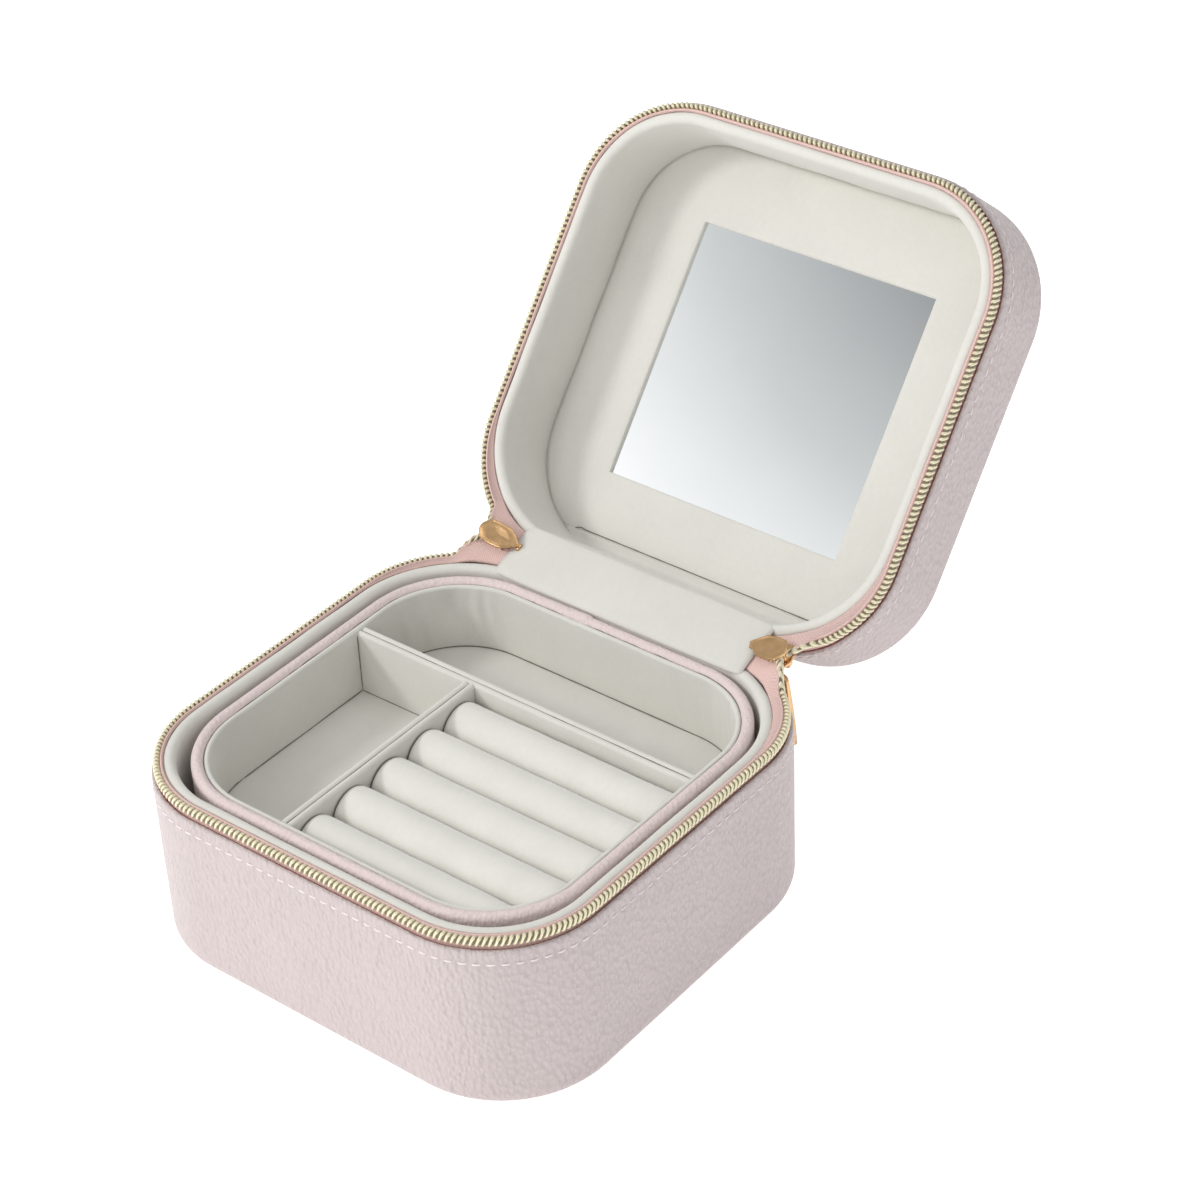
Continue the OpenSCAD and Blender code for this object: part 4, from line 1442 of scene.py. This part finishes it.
def area_light(name, place, size, power, seen=True):
    """White disk that shines on the case. seen tells whether it shows in reflections."""
    data = bpy.data.lights.new(name, "AREA")
    data.shape, data.size, data.energy = "DISK", size, power
    made = linked(name, data)
    made.visible_glossy = seen
    way = AIM - Vector(place)
    made.matrix_world = Matrix.Translation(place) @ way.to_track_quat("-Z", "Y").to_matrix().to_4x4()


AIM = Vector((0, 0, 0.04))
area_light("key", (-0.98, -0.95, 1.0), 0.35, 9, seen=False)
area_light("front", (-0.2, -1.4, 0.9), 0.55, 3.2)
area_light("fill", (1.2, -0.9, 0.8), 0.9, 1.5)
area_light("top", (0.1, 0.3, 1.6), 1.0, 2.0)

WORLD_LIGHT = 0.60
PANEL_WAY = Vector((-0.426, -0.602, 0.675)).normalized()
PANEL_LIGHT = 1.2
PANEL_REACH = 34.0
PANEL_STOPS = ((3.0, 0.34), (4.7, 0.37), (7.9, 0.66), (9.3, 0.84), (11.2, 1.06), (14.0, 1.1), (22.0, 1.1),
               (34.0, WORLD_LIGHT))


def studio():
    """Soft studio all round. In front and to the left is a bright panel with a darker middle, which the mirror sees."""
    world = bpy.data.worlds.new("studio")
    bpy.context.scene.world = world
    world.use_nodes = True
    sky = Nodes(world.node_tree)
    way = sky.coords.outputs["Generated"]
    cosine = sky.sum("ShaderNodeVectorMath", "DOT_PRODUCT", way, PANEL_WAY, output="Value")
    spread = sky.node("ShaderNodeMapRange", Value=sky.sum("ShaderNodeMath", "ARCCOSINE", cosine))
    spread.inputs["From Max"].default_value = math.radians(PANEL_REACH)
    stops = []
    for turn, light in PANEL_STOPS:
        cool = 1 + 0.04 * clamp(1.0 - light)
        level = light / PANEL_LIGHT
        stops.append((turn / PANEL_REACH, (level, level * (cool * 1.01 if cool > 1 else 1), level * cool ** 2)))
    backdrop = sky.tree.nodes["Background"]
    sky.feed(backdrop.inputs["Color"], sky.ramp(spread.outputs["Result"], stops))
    backdrop.inputs["Strength"].default_value = PANEL_LIGHT


studio()
bpy.context.scene.view_settings.view_transform = "Standard"

PAPER_GLOW = 0.6
FLOOR_HALF = 3


def floor():
    """White sweep of paper, lit from under as well, faintly uneven."""
    paper = Finish("floor_paper", roughness=0.9)
    grain = paper.noise(0.05, detail=2)
    paper.colour(paper.ramp(grain, [(0.3, (0.90, 0.90, 0.90)), (0.7, (0.92, 0.92, 0.92))]))
    paper.shader.inputs["Emission Color"].default_value = (1, 1, 1, 1)
    paper.shader.inputs["Emission Strength"].default_value = PAPER_GLOW
    sides = (-FLOOR_HALF, 0, FLOOR_HALF)
    shell = Shell()
    rows = [[Vector((x, y, 0)) for x in sides] for y in sides]
    shell.grid(rows, [[(p.x, p.y) for p in row] for row in rows], flip=True)
    shell.make("floor", paper.mat)


floor()
